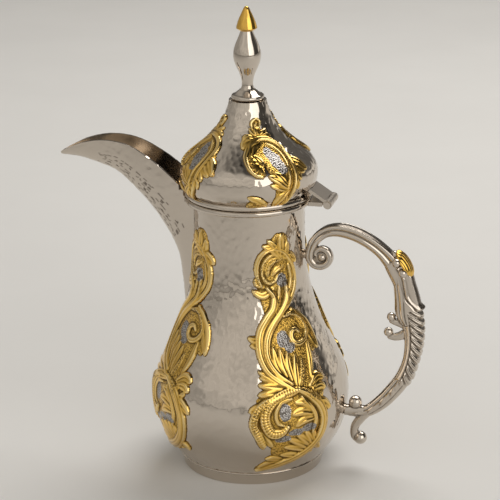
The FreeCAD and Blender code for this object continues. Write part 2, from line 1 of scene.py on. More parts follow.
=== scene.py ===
# %% [markdown]
# # Dressing a dallah coffee pot
# The pot is a hammered silver vessel with an open beak spout, a cast leaf handle, gilt scrollwork and a hinged
# onion lid. Its solids already stand in the frame, in metres. This lesson gives each of them the skin that the
# eye sees: hammer marks, cast leaves, raised scrolls, and metals with wear in them.

# %% Load the solids and keep their box
import math
import bpy
import numpy as np
from mathutils import Vector, Matrix
from mathutils.kdtree import KDTree


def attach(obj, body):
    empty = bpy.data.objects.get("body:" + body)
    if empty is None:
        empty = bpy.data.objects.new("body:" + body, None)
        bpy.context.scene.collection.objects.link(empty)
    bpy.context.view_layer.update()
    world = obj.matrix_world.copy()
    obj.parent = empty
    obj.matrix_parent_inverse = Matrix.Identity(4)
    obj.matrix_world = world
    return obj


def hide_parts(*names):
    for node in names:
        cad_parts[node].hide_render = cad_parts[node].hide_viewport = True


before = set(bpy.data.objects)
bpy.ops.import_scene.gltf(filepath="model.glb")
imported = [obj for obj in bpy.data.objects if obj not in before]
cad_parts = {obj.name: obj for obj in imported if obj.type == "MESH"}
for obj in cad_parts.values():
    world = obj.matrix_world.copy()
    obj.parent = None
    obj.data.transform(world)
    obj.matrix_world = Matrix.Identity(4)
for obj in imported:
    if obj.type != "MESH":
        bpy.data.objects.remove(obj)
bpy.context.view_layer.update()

MM = 0.001
bpy.ops.object.select_all(action="DESELECT")

# %% [markdown]
# ## Camera
# The pot was seen from a little above the rim, with the handle turned slightly towards the viewer. A long lens
# far away keeps the outline flat and true, as a product picture does. The camera looks at a point on the pot's
# axis, and the small roll levels the foot.

# %% Camera at the picture's viewing angle
VIEWPOINT = (0.3089, -1.1527, 0.5502)
AIM = Vector((0.0, 0.0, 0.1488))
ROLL = -0.015
bpy.ops.object.camera_add(location=VIEWPOINT)
camera = bpy.context.object
camera.name = "portrait_camera"
camera.data.sensor_width = 36.0
camera.data.lens = 136.3
line_of_sight = AIM - camera.location
level = line_of_sight.to_track_quat("-Z", "Y").to_matrix()
camera.rotation_euler = (level @ Matrix.Rotation(ROLL, 3, "Z")).to_euler()
bpy.context.scene.camera = camera
print("camera", round(line_of_sight.length, 3), "m from the pot")

# %% [markdown]
# ## Sockets that can be added and multiplied
# A metal is never one colour: it has finger marks, dull hollows and bright edges. Each of these is a small sum in
# the shader. The class below lets such a sum be written as a line of Python, and every operator adds one Math
# node. All the other nodes come from one method, which sets a node up first and then fills its sockets.

# %% A socket with arithmetic


class Amount:
    def __init__(self, metal, socket):
        self.metal = metal
        self.socket = socket

    def step(self, operation, first, second):
        return self.metal.node("ShaderNodeMath", {"operation": operation}, {0: first, 1: second})

    def __add__(self, other):
        return self.step("ADD", self, other)

    def __radd__(self, other):
        return self.step("ADD", other, self)

    def __sub__(self, other):
        return self.step("SUBTRACT", self, other)

    def __rsub__(self, other):
        return self.step("SUBTRACT", other, self)

    def __mul__(self, other):
        return self.step("MULTIPLY", self, other)

    def __rmul__(self, other):
        return self.step("MULTIPLY", other, self)

    def __truediv__(self, other):
        return self.step("DIVIDE", self, other)

    def above(self, other):
        return self.step("MAXIMUM", self, other)

    def below(self, other):
        return self.step("MINIMUM", self, other)


print("socket arithmetic ready")

# %% A metal with mottle, relief and painted values


class Metal:
    def __init__(self, name):
        self.material = bpy.data.materials.new(name)
        self.material.use_nodes = True
        self.tree = self.material.node_tree
        self.shader = self.tree.nodes["Principled BSDF"]
        self.shader.inputs["Metallic"].default_value = 1.0

    def node(self, kind, settings=None, inputs=None, output=0):
        made = self.tree.nodes.new(kind)
        for key, value in (settings or {}).items():
            if key == "stops":
                ramp = made.color_ramp
                while len(ramp.elements) < len(value):
                    ramp.elements.new(1.0)
                for element, (place, shade) in zip(ramp.elements, value):
                    element.position = place
                    element.color = (*shade, 1.0)
            else:
                setattr(made, key, value)
        for key, value in (inputs or {}).items():
            self.fill(made.inputs[key], value)
        return Amount(self, made.outputs[output])

    def fill(self, socket, value):
        if isinstance(value, Amount):
            self.tree.links.new(value.socket, socket)
        else:
            socket.default_value = value

    def place(self):
        return self.node("ShaderNodeTexCoord", None, None, "Object")

    def stretched(self, scale):
        return self.node("ShaderNodeMapping", None, {"Vector": self.place(), "Scale": scale})

    def mottle(self, scale, detail=3.0, roughness=0.55, where=None):
        sockets = {"Vector": where or self.place(), "Scale": scale,
                   "Detail": detail, "Roughness": roughness}
        return self.node("ShaderNodeTexNoise", {"noise_dimensions": "3D"}, sockets, "Fac")

    def cells(self, scale):
        sockets = {"Vector": self.place(), "Scale": scale}
        return self.node("ShaderNodeTexVoronoi", {"feature": "F1"}, sockets, "Distance")

    def ramp(self, share, stops):
        return self.node("ShaderNodeValToRGB", {"stops": stops}, {"Fac": share}, "Color")

    def painted(self, name):
        return self.node("ShaderNodeAttribute", {"attribute_name": name}, None, "Fac")

    def blend(self, share, first, second):
        sockets = {0: share, 6: first, 7: second}
        return self.node("ShaderNodeMix", {"data_type": "RGBA"}, sockets, 2)

    def relief(self, height, depth, strength=1.0, under=None):
        sockets = {"Strength": strength, "Distance": depth, "Height": height}
        if under is not None:
            sockets["Normal"] = under
        return self.node("ShaderNodeBump", None, sockets)

    def finish(self, **inputs):
        for key, value in inputs.items():
            self.fill(self.shader.inputs[key.replace("_", " ")], value)
        return self.material


def tone(red, green, blue):
    return (red, green, blue, 1.0)


print("metals ready")

# %% [markdown]
# ## The silver finishes
# The vessel, lid and spout are planished: thousands of light hammer blows leave shallow dishes, so the sheet is
# bright but its reflections break up. The foot, rims and finial are turned and polished smooth. The handle is
# cast, and its hollows are painted a warm grey: partly the tarnish that the polishing wheel never reached, partly
# painted shade. The dark of the chased dashes on the spout is a painted dark reflection. The hinge leaves are
# filed to a satin, and the screws are plain steel. One recipe makes them all, with gloss, haze, painted hollow
# shade and fine scratches in different strengths.

# %% Silver by recipe
SILVER = tone(0.66, 0.595, 0.52)
SILVER_WARM = tone(0.59, 0.525, 0.45)
# A warm grey painted into hollows: partly tarnish, partly painted shade and painted dark reflection.
TARNISH_AND_SHADE = tone(0.16, 0.135, 0.11)


def silver(name, gloss, haze, grain, hollow_shading=0.0):
    metal = Metal(name)
    cloud = metal.mottle(38.0, detail=4.0)
    hair = metal.mottle(900.0, detail=2.0, roughness=0.6, where=metal.stretched((1.0, 1.0, 0.16)))
    sheet = metal.blend(cloud, SILVER, SILVER_WARM)
    if hollow_shading:
        # Hollows blend towards that grey: painted shade, partly tarnish.
        hollow = metal.painted("hollow")
        hollow_shade = (hollow * (0.55 + 0.9 * metal.mottle(420.0))).below(1.0) * hollow_shading
        sheet = metal.blend(hollow_shade, sheet, TARNISH_AND_SHADE)
        dull = gloss + haze * cloud + 0.22 * hollow_shade
    else:
        dull = gloss + haze * cloud * hair
    bump = metal.relief(hair, grain * MM)
    return metal.finish(Base_Color=sheet, Roughness=dull, Normal=bump)


hammered_silver = silver("hammered_silver", gloss=0.06, haze=0.08, grain=0.006)
polished_silver = silver("polished_silver", gloss=0.045, haze=0.07, grain=0.003)
mirror_silver = silver("mirror_silver", gloss=0.03, haze=0.05, grain=0.001)
cast_silver = silver("cast_silver", gloss=0.055, haze=0.07, grain=0.004, hollow_shading=0.95)
chased_silver = silver("chased_silver", gloss=0.06, haze=0.08, grain=0.006, hollow_shading=0.85)
satin_silver = silver("satin_silver", gloss=0.30, haze=0.12, grain=0.006)
steel = silver("plain_steel", gloss=0.26, haze=0.16, grain=0.010)
print("silver finishes, from", hammered_silver.name, "to", steel.name)

# %% [markdown]
# ## The gilt finish
# The scrolls are raised in silver and then gilded, apart from a few fields that stay silver. Punched ground
# between the stems has a fine grain of dots. Four painted values on the mesh, made later with the scrolls, tell
# the shader where the hollows, the crests, the silver fields and the punched ground are. The hollows get painted
# shade and the crests a paler painted highlight.

# %% Gold with silver fields and punched ground
# The paler gold is a painted highlight on the crests; the near-black brown is painted shade in the hollows and the
# dark of the punched pores.
GOLD = tone(0.90, 0.60, 0.155)
GOLD_HIGHLIGHT = tone(0.95, 0.77, 0.40)
GOLD_DEEP = tone(0.74, 0.41, 0.055)
GOLD_SHADE_AND_PORES = tone(0.045, 0.024, 0.006)
SILVER_FIELD = tone(0.44, 0.42, 0.40)


def gilt(name, carved):
    metal = Metal(name)
    cloud = metal.mottle(70.0, detail=4.0)
    gold = metal.blend(cloud, GOLD, GOLD_DEEP)
    fine = metal.mottle(1500.0, detail=2.0)
    if not carved:
        bump = metal.relief(fine, 0.004 * MM)
        return metal.finish(Base_Color=gold, Roughness=0.09 + 0.10 * cloud, Normal=bump)
    hollow = metal.painted("hollow")
    # Crests turn a paler gold: a painted highlight.
    gold = metal.blend(metal.painted("crest") * 0.75, gold, GOLD_HIGHLIGHT)
    ragged = (metal.painted("silver") + 0.55 * (metal.mottle(330.0) - 0.5) - 0.42) * 9.0
    bare = ragged.above(0.0).below(1.0)
    skin = metal.blend(bare, gold, SILVER_FIELD)
    hollow_shade = (hollow * (0.6 + 0.8 * metal.mottle(520.0))).below(1.0)
    grain = metal.painted("grain").above(bare * 0.9)
    dots = metal.cells(1000.0)
    pits = grain * (1.0 - dots).above(0.0)
    pores = grain * ((dots - 0.45) * 4.0).above(0.0).below(1.0)
    # Hollows turn near-black brown: painted shade. The punched ground's pores darken too.
    skin = metal.blend((hollow_shade * 0.9).above(pores * 0.7), skin, GOLD_SHADE_AND_PORES)
    bump = metal.relief(fine, 0.006 * MM, under=metal.relief(pits, 0.30 * MM, strength=0.9))
    dull = 0.07 + 0.06 * cloud + 0.16 * hollow_shade + 0.10 * grain
    return metal.finish(Base_Color=skin, Roughness=dull, Normal=bump)


carved_gilt = gilt("carved_gilt", carved=True)
plain_gilt = gilt("plain_gilt", carved=False)
print("gilt finishes", carved_gilt.name, plain_gilt.name)

# %% [markdown]
# ## Floor and light
# Metal shows only what stands round it, so the light is the picture. The floor is a plain pale sheet. One soft
# panel hangs high behind the pot, and another stands at the front right like a window. The room is a soft grey at
# the front and left. Past the window it is dark, and that sharp change draws the stripes down the right flank and
# gives the gold its deep shadows. A low pale strip further round lights the edge of that flank. The room's shades
# are two ramps, one round the pot and one from the floor up.

# %% A pale floor
bpy.ops.mesh.primitive_plane_add(size=9.0)
floor = bpy.context.object
floor.name = "pale_floor"
paper = Metal("pale_paper")
paper.shader.inputs["Metallic"].default_value = 0.0
speck = paper.mottle(6.0, detail=5.0)
sheet = paper.blend(speck, tone(0.73, 0.72, 0.70), tone(0.79, 0.78, 0.76))
paper.finish(Base_Color=sheet, Roughness=0.85)
floor.data.materials.append(paper.material)
print("floor", tuple(round(side, 1) for side in floor.dimensions[:2]))

# %% Soft panels
LAMPLIGHT = (1.0, 0.98, 0.95)


def panel(name, place, aim, width, height, power):
    bpy.ops.object.light_add(type="AREA", location=place)
    lamp = bpy.context.object
    lamp.name = name
    lamp.data.shape = "RECTANGLE"
    lamp.data.size = width
    lamp.data.size_y = height
    lamp.data.energy = power
    lamp.data.color = LAMPLIGHT
    lamp.rotation_euler = (Vector(aim) - Vector(place)).to_track_quat("-Z", "Y").to_euler()


panel("top_panel", (0.30, 1.00, 1.95), aim=(0, 0, 0.14), width=1.6, height=1.4, power=30.0)
panel("window_panel", (1.40, -1.10, 0.84), aim=(0, 0, 0.16), width=1.55, height=1.5, power=9.0)

# %% A graded room
ROUND = ((-180, 0.40), (-150, 0.46), (-122, 0.62), (-72, 0.64), (-58, 0.80), (-16, 0.42), (-5, 0.07),
         (26, 0.07), (38, 0.16), (75, 0.12), (120, 0.14), (142, 0.42), (180, 0.40))
FAR = ((0.0, 0.0), (0.593, 0.0), (0.618, 1.0), (0.70, 1.0), (0.74, 0.0))
UP = ((0.0, 0.86), (0.14, 1.0), (0.70, 1.0), (0.90, 0.40), (1.0, 0.10))
STRIP = tone(0.78, 0.74, 0.68)
STRIP_TOP = 0.16


class Room(Metal):
    def __init__(self, name):
        world = bpy.data.worlds.new(name)
        world.use_nodes = True
        bpy.context.scene.world = world
        self.material = world
        self.tree = world.node_tree
        self.shader = self.tree.nodes["Background"]


def greys(levels):
    return [(at, (level, level, level)) for at, level in levels]


room = Room("grey_room")
way = room.node("ShaderNodeTexCoord", None, None, "Generated")
east, north, height = (room.node("ShaderNodeSeparateXYZ", None, {0: way}, axis) for axis in "XYZ")
turn = room.node("ShaderNodeMath", {"operation": "ARCTAN2"}, {0: north, 1: east}) / (2 * math.pi) + 0.5
warm = [(0.5 + angle / 360, (1.05 * shade, shade, 0.92 * shade)) for angle, shade in ROUND]
walls = room.ramp(turn, warm)
low = ((STRIP_TOP - height) * 12.0).above(0.0).below(1.0)
walls = room.blend(room.ramp(turn, greys(FAR)) * low, walls, STRIP)
dimming = room.ramp(height + 0.30 * east, greys(UP))
patches = 0.62 + 0.76 * room.mottle(5.0, detail=2.0, roughness=0.5, where=way)
room.finish(Color=walls, Strength=dimming * patches)
bpy.context.scene.view_settings.view_transform = "Standard"
print("room", len(ROUND), "shades round the pot")

# %% [markdown]
# ## Small tools for shaping
# Every piece starts as a primitive and is shaped from there. These helpers do the repeated hand moves: clear the
# selection, read and place vertices, weld, join and smooth meshes, apply a modifier, find the nearest of many
# places, and hang a finished piece on its body. Lengths are millimetres, and MM turns them into the frame's metres.

# %% Select a piece, read and place its points


def clear_selection():
    active = bpy.context.object
    if active is not None and active.mode != "OBJECT":
        bpy.ops.object.mode_set(mode="OBJECT")
    bpy.ops.object.select_all(action="DESELECT")


def take(piece):
    clear_selection()
    piece.select_set(True)
    bpy.context.view_layer.objects.active = piece


def points_of(piece):
    flat = np.empty(len(piece.data.vertices) * 3, dtype=np.float32)
    piece.data.vertices.foreach_get("co", flat)
    return flat.reshape(-1, 3).astype(float)


def put_points(piece, points):
    piece.data.vertices.foreach_set("co", np.asarray(points, dtype=np.float32).ravel())
    piece.data.update()


def normals_of(piece):
    flat = np.empty(len(piece.data.vertices) * 3, dtype=np.float32)
    piece.data.vertex_normals.foreach_get("vector", flat)
    return flat.reshape(-1, 3).astype(float)


print("selection and points ready")

# %% Weld, join, work, smooth and hang


def weld(piece, gap=0.002):
    take(piece)
    bpy.ops.object.mode_set(mode="EDIT")
    bpy.ops.mesh.select_all(action="SELECT")
    bpy.ops.mesh.remove_doubles(threshold=gap * MM)
    bpy.ops.mesh.normals_make_consistent(inside=False)
    bpy.ops.object.mode_set(mode="OBJECT")


def joined(name, parts):
    clear_selection()
    for part in parts:
        part.select_set(True)
    bpy.context.view_layer.objects.active = parts[0]
    bpy.ops.object.join()
    parts[0].name = name
    return parts[0]


def worked(piece, kind, **settings):
    take(piece)
    modifier = piece.modifiers.new("work", kind)
    for key, value in settings.items():
        setattr(modifier, key, value)
    bpy.ops.object.modifier_apply(modifier=modifier.name)


def nearest_of(places):
    tree = KDTree(len(places))
    for index, place in enumerate(places):
        tree.insert(place, index)
    tree.balance()
    return tree


def smooth(piece, angle=None):
    take(piece)
    if angle is None:
        bpy.ops.object.shade_smooth()
    else:
        bpy.ops.object.shade_smooth_by_angle(angle=math.radians(angle))


def hang(piece, body, finish, node):
    piece.data.materials.clear()
    piece.data.materials.append(finish)
    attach(piece, body)
    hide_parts(node)
    print(piece.name, len(piece.data.vertices), "points on", body)


def paint(piece, name, values):
    layer = piece.data.attributes.new(name, "FLOAT", "POINT")
    layer.data.foreach_set("value", np.asarray(values, dtype=np.float32))


print("hand moves ready")

# %% [markdown]
# ## Turned outlines
# The vessel, lid, rims and finial are all turned about the upright axis. An outline is drawn through a few
# stations, each a radius, a height and a heading. It is then closed on itself and spun, which is how a spinner
# presses a sheet over a chuck. A circle primitive gives the closed loop: its vertices are moved onto the outline,
# and the spin tool sweeps it round. Radii and heights that several pieces share are named once.

# %% Draw an outline


def outline(stations, step, pull=0.37):
    runs = []
    for (r0, z0, out0, up0), (r1, z1, out1, up1) in zip(stations, stations[1:]):
        start, end = np.array((r0, z0)), np.array((r1, z1))
        reach = pull * np.linalg.norm(end - start)
        leave = start + reach * np.array((out0, up0)) / math.hypot(out0, up0)
        arrive = end - reach * np.array((out1, up1)) / math.hypot(out1, up1)
        count = max(2, int(round(np.linalg.norm(end - start) / step)))
        t = np.linspace(0, 1, count + 1)[:, None]
        curve = ((1 - t) ** 3 * start + 3 * (1 - t) ** 2 * t * leave
                 + 3 * (1 - t) * t ** 2 * arrive + t ** 3 * end)
        runs.append(curve if not runs else curve[1:])
    return np.vstack(runs)


def inset(curve, depth):
    heading = np.gradient(curve, axis=0)
    heading /= np.linalg.norm(heading, axis=1)[:, None]
    return curve - depth * np.column_stack((heading[:, 1], -heading[:, 0]))


def rounded(corners, radius, steps=4):
    loop = []
    corners = [np.array(corner, dtype=float) for corner in corners]
    befores, afters = corners[-1:] + corners[:-1], corners[1:] + corners[:1]
    for before, here, after in zip(befores, corners, afters):
        back, ahead = before - here, after - here
        room_back, room_ahead = np.linalg.norm(back), np.linalg.norm(ahead)
        cut = min(radius, 0.45 * room_back, 0.45 * room_ahead)
        first, last = here + back / room_back * cut, here + ahead / room_ahead * cut
        for t in np.linspace(0, 1, steps + 1):
            loop.append((1 - t) ** 2 * first + 2 * t * (1 - t) * here + t ** 2 * last)
    return loop


def arc(centre, radius, start, end, steps):
    out, up = centre
    turns = np.radians(np.linspace(start, end, steps + 1))
    return [(out + radius * math.cos(turn), up + radius * math.sin(turn)) for turn in turns]


print("a quarter circle in two steps", np.round(arc((0, 0), 1.0, 0, 90, 2), 2).tolist())

# %% Spin a loop


def spun(name, loop, steps):
    clear_selection()
    bpy.ops.mesh.primitive_circle_add(vertices=len(loop), radius=0.01)
    piece = bpy.context.object
    piece.name = name
    put_points(piece, [(radius * MM, 0.0, height * MM) for radius, height in loop])
    bpy.ops.object.mode_set(mode="EDIT")
    bpy.ops.mesh.select_all(action="SELECT")
    bpy.ops.mesh.spin(steps=steps, angle=2 * math.pi, center=(0, 0, 0), axis=(0, 0, 1))
    bpy.ops.object.mode_set(mode="OBJECT")
    weld(piece)
    return piece


print("spinner ready")

# %% The outlines of vessel and lid
NECK = 36.7
FOOT_TOP, MOUTH, RIM_TOP = 9.0, 184.0, 187.9
LID_SEAT, LID_TOP, BULB_FOOT, BULB_TOP = 191.95, 252.25, 258.65, 297.15
BELLY_JOINT, NECK_JOINT = 40.0, 150.0
BODY = [(50.0, FOOT_TOP, 0.79, 1), (65.8, 51.0, 0, 1), (50.3, 96.0, -0.43, 1),
        (NECK, 160.0, 0, 1), (NECK, MOUTH, 0, 1)]
LID = [(40.8, LID_SEAT, 1.1, 1), (45.3, 204.45, 0, 1), (33.5, 220.25, -1.38, 1), (12.2, LID_TOP, -0.22, 1)]
body_line = outline(BODY, step=1.0)
lid_line = outline(LID, step=0.8)


def skin_at(line, height):
    radius = np.interp(height, line[:, 1], line[:, 0])
    slope = np.interp(height, line[:, 1], np.gradient(line[:, 0], line[:, 1]))
    size = np.sqrt(1 + slope ** 2)
    return radius, 1 / size, -slope / size


print("outlines", len(body_line), "and", len(lid_line), "points")

# %% [markdown]
# ## Hammer marks
# A planishing hammer leaves a shallow dish at every blow, a few millimetres across, each tilted a little its own
# way. A texture would do for a still picture, but the marks also roughen the pot's outline, so they are made in
# the mesh: each vertex sinks into the dish of its nearest blow. The blows are laid in rows, as a smith works.

# %% Strike a surface
MOST_RISE = 0.02
LIGHTEST, HEAVIEST = 0.6, 1.3
SIDE_STRAY, ROW_STRAY = 0.33, 0.36


def strike(piece, wanted, blows, depth, tilt, seed, squeeze=1.0, reach=2.6):
    chance = np.random.default_rng(seed)
    scale = np.array((1.0, 1.0, squeeze))
    tree = nearest_of(blows * scale)
    lean = chance.normal(0.0, tilt, (len(blows), 3))
    weight = chance.uniform(LIGHTEST, HEAVIEST, len(blows))
    points, normals = points_of(piece), normals_of(piece)
    chosen = np.nonzero(wanted)[0]
    near = np.array([tree.find(point)[1:] for point in points[chosen] * scale])
    blow = near[:, 0].astype(int)
    dish = np.minimum(near[:, 1] / (reach * MM), 1.15) ** 2 - 1.0
    slant = np.einsum("ij,ij->i", points[chosen] - blows[blow], lean[blow])
    drop = np.minimum(dish * depth * MM * weight[blow] + slant, MOST_RISE * MM)
    points[chosen] += normals[chosen] * drop[:, None]
    put_points(piece, points)


def blows_in_rows(line, across, along, seed):
    chance = np.random.default_rng(seed)
    travel = np.concatenate(([0], np.cumsum(np.linalg.norm(np.diff(line, axis=0), axis=1))))
    places = []
    for row, reach in enumerate(np.arange(along / 2, travel[-1], along)):
        radius = np.interp(reach, travel, line[:, 0])
        count = max(6, int(round(2 * math.pi * radius / across)))
        for index in range(count):
            place = index + 0.5 * (row % 2) + chance.uniform(-SIDE_STRAY, SIDE_STRAY)
            turn = 2 * math.pi * place / count
            here = reach + chance.uniform(-ROW_STRAY, ROW_STRAY) * along
            r, z = np.interp(here, travel, line[:, 0]), np.interp(here, travel, line[:, 1])
            places.append((r * math.cos(turn), r * math.sin(turn), z))
    return np.array(places) * MM


print("hammer ready")

# %% [markdown]
# ## The vessel
# The vessel is one sheet from the foot to the mouth: a full belly, a long waist and a straight neck. Its outer
# wall is close enough in rows to hold the hammer marks, and its inner wall is smooth and sparse. The pour slot
# behind the spout is cut with a boolean, as a saw would cut it after the raising.

# %% Raise the vessel and hammer it
BODY_SHEET, NEAR_WALL = 1.6, 0.1
inner_body = inset(outline(BODY, step=5.0), BODY_SHEET)
inner_body[0, 1] = FOOT_TOP
body_shell = spun("body_shell_hammered", list(body_line) + list(inner_body[::-1]), steps=400)


def outer_wall(piece, line):
    points = points_of(piece)
    radius = np.hypot(points[:, 0], points[:, 1])
    wall = skin_at(line, points[:, 2] / MM)[0] * MM
    return np.abs(radius - wall) < NEAR_WALL * MM


blows = blows_in_rows(body_line, across=3.9, along=5.6, seed=11)
strike(body_shell, outer_wall(body_shell, body_line), blows, depth=0.095, tilt=0.034, seed=12, squeeze=0.7)
print("vessel", len(blows), "blows")

# %% Saw the pour slot
SLOT_HALF, SLOT_LOW, SLOT_HIGH = 5.5, 145.5, 166.5
SAW_LENGTH, SAW_PLACE = 40.0, -37.0
clear_selection()
bpy.ops.mesh.primitive_cylinder_add(vertices=48, radius=SLOT_HALF * MM, depth=SAW_LENGTH * MM,
                                    rotation=(0, math.radians(90), 0))
saw = bpy.context.object
bpy.ops.object.transform_apply(location=True, rotation=True, scale=True)
blade = points_of(saw)
blade[:, 0] += SAW_PLACE * MM
blade[:, 2] += np.where(blade[:, 2] > 0, SLOT_HIGH * MM, SLOT_LOW * MM)
put_points(saw, blade)
worked(body_shell, "BOOLEAN", operation="DIFFERENCE", object=saw)
bpy.data.objects.remove(saw)
smooth(body_shell, angle=40)
hang(body_shell, "pot", hammered_silver, "body_shell")

# %% [markdown]
# ## The lid
# The lid is an onion dome: it swells just above its rim and then sweeps up in a hollow curve to the collar. It is
# made and hammered as the vessel is, with rows of blows a little closer together.

# %% Raise the lid and hammer it
LID_SHEET, STUD_HOLE = 1.5, 2.0
inner_lid = inset(outline(LID, step=4.0), LID_SHEET)
inner_lid[0, 1] = LID_SEAT
crown = [(STUD_HOLE, LID_TOP), (STUD_HOLE, LID_TOP - LID_SHEET), (10.7, LID_TOP - LID_SHEET)]
lid_dome = spun("lid_dome_hammered", list(lid_line) + crown + list(inner_lid[:-1][::-1]), steps=300)
blows = blows_in_rows(lid_line, across=4.0, along=4.8, seed=21)
strike(lid_dome, outer_wall(lid_dome, lid_line), blows, depth=0.13, tilt=0.050, seed=22)
smooth(lid_dome, angle=40)
hang(lid_dome, "lid", hammered_silver, "lid_dome")
print("lid", len(blows), "blows")

# %% [markdown]
# ## Foot, rims and finial
# These are turned solid and polished, so they mirror their surroundings in clean lines. Every corner is eased,
# because a perfectly sharp edge catches no light and looks like paper.

# %% Turn the foot and the two rims


def turned(name, loop, body, finish, node, steps, crease):
    piece = spun(name, loop, steps)
    smooth(piece, crease)
    hang(piece, body, finish, node)


FLANGE, SKIRT_FOOT, LID_RIM_FOOT = 7.2, 181.65, 188.15
foot = rounded([(47.7, 0), (48.7, FLANGE), (50.3, 8.1), (50.2, FOOT_TOP), (40.5, FOOT_TOP), (40.5, FLANGE),
                (45.9, FLANGE), (45.9, 0)], radius=0.7)
turned("foot_turned", foot, "pot", polished_silver, "foot_ring", steps=192, crease=50)
mouth = arc((40.55, 185.95), radius=1.95, start=-90, end=90, steps=14)
mouth += rounded([(36.4, RIM_TOP), (35.1, 187.2), (35.1, MOUTH), (37.4, MOUTH)], radius=0.4)
turned("mouth_rim_turned", mouth, "pot", polished_silver, "mouth_rim", steps=192, crease=50)
lid_rim = arc((40.6, 190.05), radius=1.9, start=-90, end=90, steps=14)
lid_rim += rounded([(38.0, LID_SEAT), (32.7, LID_SEAT), (32.7, SKIRT_FOOT), (34.2, SKIRT_FOOT),
                    (34.2, LID_RIM_FOOT), (37.0, LID_RIM_FOOT)], radius=0.4)
turned("lid_rim_turned", lid_rim, "lid", polished_silver, "lid_rim", steps=192, crease=50)

# %% Turn the collar, the bulb and the gilt point
BORE = 1.95
collar = [(BORE, LID_TOP), (9.1, LID_TOP)] + arc((9.1, 253.95), radius=1.7, start=-80, end=70, steps=12)
collar += [(8.2, 255.9), (6.6, 257.6), (5.9, 258.0), (5.3, BULB_FOOT), (BORE, BULB_FOOT)]
turned("finial_collar_turned", collar, "lid", mirror_silver, "finial_collar",
       steps=128, crease=40)
bulb = list(outline([(4.9, BULB_FOOT, -0.9, 1), (3.7, 262.65, 0, 1), (9.0, 281.15, 0, 1),
                     (4.0, BULB_TOP, -0.3, 1)], step=0.7))
bulb += [(BORE, BULB_TOP), (BORE, BULB_FOOT)]
turned("finial_bulb_turned", bulb, "lid", mirror_silver, "finial_bulb", steps=128, crease=40)
tip = list(outline([(6.7, 299.6, -0.22, 1), (2.0, 311.3, -0.46, 1)], step=0.6))
tip += [(1.4, 312.3), (0.7, 312.8), (0.0, 312.95), (0.0, 303.6), (BORE, 303.3), (BORE, BULB_TOP),
        (4.4, BULB_TOP), (4.7, 297.5), (6.2, 298.2), (6.8, 298.9)]
turned("finial_tip_turned", tip, "lid", plain_gilt, "finial_tip", steps=96, crease=40)

# %% [markdown]
# ## The spout
# A dallah pours from an open trough that starts low on the waist and ends in a beak. It is raised from one sheet:
# a grid is bent so that its middle line follows the keel and its two long edges follow the lips, a Solidify
# modifier gives the wall, and a boolean fits it to the vessel. The hammer goes over it last, and a small chisel
# leaves rows of short dashes along both flanks. Keel and lips are measured out from the neck and up from the mouth.

# %% Bend the trough


def through(rows, count):
    rows = np.array(rows, dtype=float)
    keys = np.concatenate(([0], np.cumsum(np.linalg.norm(np.diff(rows[:, :2], axis=0), axis=1))))
    slope = np.gradient(rows, keys, axis=0)
    at = np.linspace(0, keys[-1], count)
    cell = np.clip(np.searchsorted(keys, at, side="right") - 1, 0, len(keys) - 2)
    span = (keys[cell + 1] - keys[cell])[:, None]
    t = ((at - keys[cell])[:, None]) / span
    return ((2 * t ** 3 - 3 * t ** 2 + 1) * rows[cell] + (t ** 3 - 2 * t ** 2 + t) * span * slope[cell]
            + (3 * t ** 2 - 2 * t ** 3) * rows[cell + 1] + (t ** 3 - t ** 2) * span * slope[cell + 1])


def woven(name, across, along, place):
    clear_selection()
    bpy.ops.mesh.primitive_grid_add(x_subdivisions=across, y_subdivisions=along, size=1.0)
    piece = bpy.context.object
    piece.name = name
    rows = len(piece.data.vertices) // (across + 1)
    put_points(piece, np.asarray(place(rows, across + 1)).reshape(-1, 3) * MM)
    return piece


KEEL = ((7.4, -73.0), (8.5, -56.0), (10.9, -39.0), (17.3, -24.0), (27.3, -8.5), (39.8, 5.0),
        (53.3, 16.4), (67.3, 21.6), (79.3, 24.6), (89.3, 25.2), (92.6, 25.3))
LIPS = ((-6.0, -52.0, 16.0), (-6.7, -32.0, 19.0), (-6.7, -14.0, 21.5), (-2.7, 0.5, 24.5), (10.3, 14.6, 27.0),
        (26.3, 27.0, 23.6), (43.8, 35.8, 19.5), (60.3, 37.6, 17.0), (75.3, 34.8, 14.2), (87.8, 29.0, 6.0),
        (92.5, 26.4, 1.8))
BEAK_WIDTH, FLARE = 1.6, 0.05


def trough(rows, columns):
    keel, lips = through(KEEL, rows), through(LIPS, rows)
    low = np.column_stack((-NECK - keel[:, 0], np.zeros(rows), MOUTH + keel[:, 1]))
    high = np.column_stack((-NECK - lips[:, 0], np.zeros(rows), MOUTH + lips[:, 1]))
    climb, wide = high - low, np.maximum(lips[:, 2], BEAK_WIDTH)[:, None]
    points = np.empty((rows, columns, 3))
    for column, side in enumerate(np.linspace(-1, 1, columns)):
        t, hand = abs(side), np.array((0.0, math.copysign(1.0, side), 0.0))
        rim = high + hand * wide / 2
        points[:, column] = ((1 - t) ** 3 * low + 3 * (1 - t) ** 2 * t * (low + hand * 0.42 * wide)
                             + 3 * (1 - t) * t ** 2 * (rim - 0.5 * climb - hand * FLARE * wide) + t ** 3 * rim)
    return points


spout = woven("spout_hammered", across=96, along=190, place=trough)
print("trough", len(spout.data.vertices), "points, reach", round(spout.dimensions[0] / MM, 1), "mm")

# %% Give it a wall and fit it to the vessel
SPOUT_SHEET, FIT, FORMER_TOP = 1.4, 0.1, 252.0
worked(spout, "SOLIDIFY", thickness=SPOUT_SHEET * MM, offset=-1.0)
room_for_pot = [(0.0, FOOT_TOP)] + [(r + FIT, z) for r, z in outline(BODY, step=3.0)] + [
    (42.6, MOUTH), (42.6, RIM_TOP), (43.5, RIM_TOP), (43.5, LID_SEAT), (46.3, LID_SEAT),
    (46.3, FORMER_TOP), (0.0, FORMER_TOP)]
former = spun("vessel_former", room_for_pot, steps=160)
worked(spout, "BOOLEAN", operation="DIFFERENCE", object=former)
bpy.data.objects.remove(former)
weld(spout)
print("fitted spout", len(spout.data.vertices), "points")

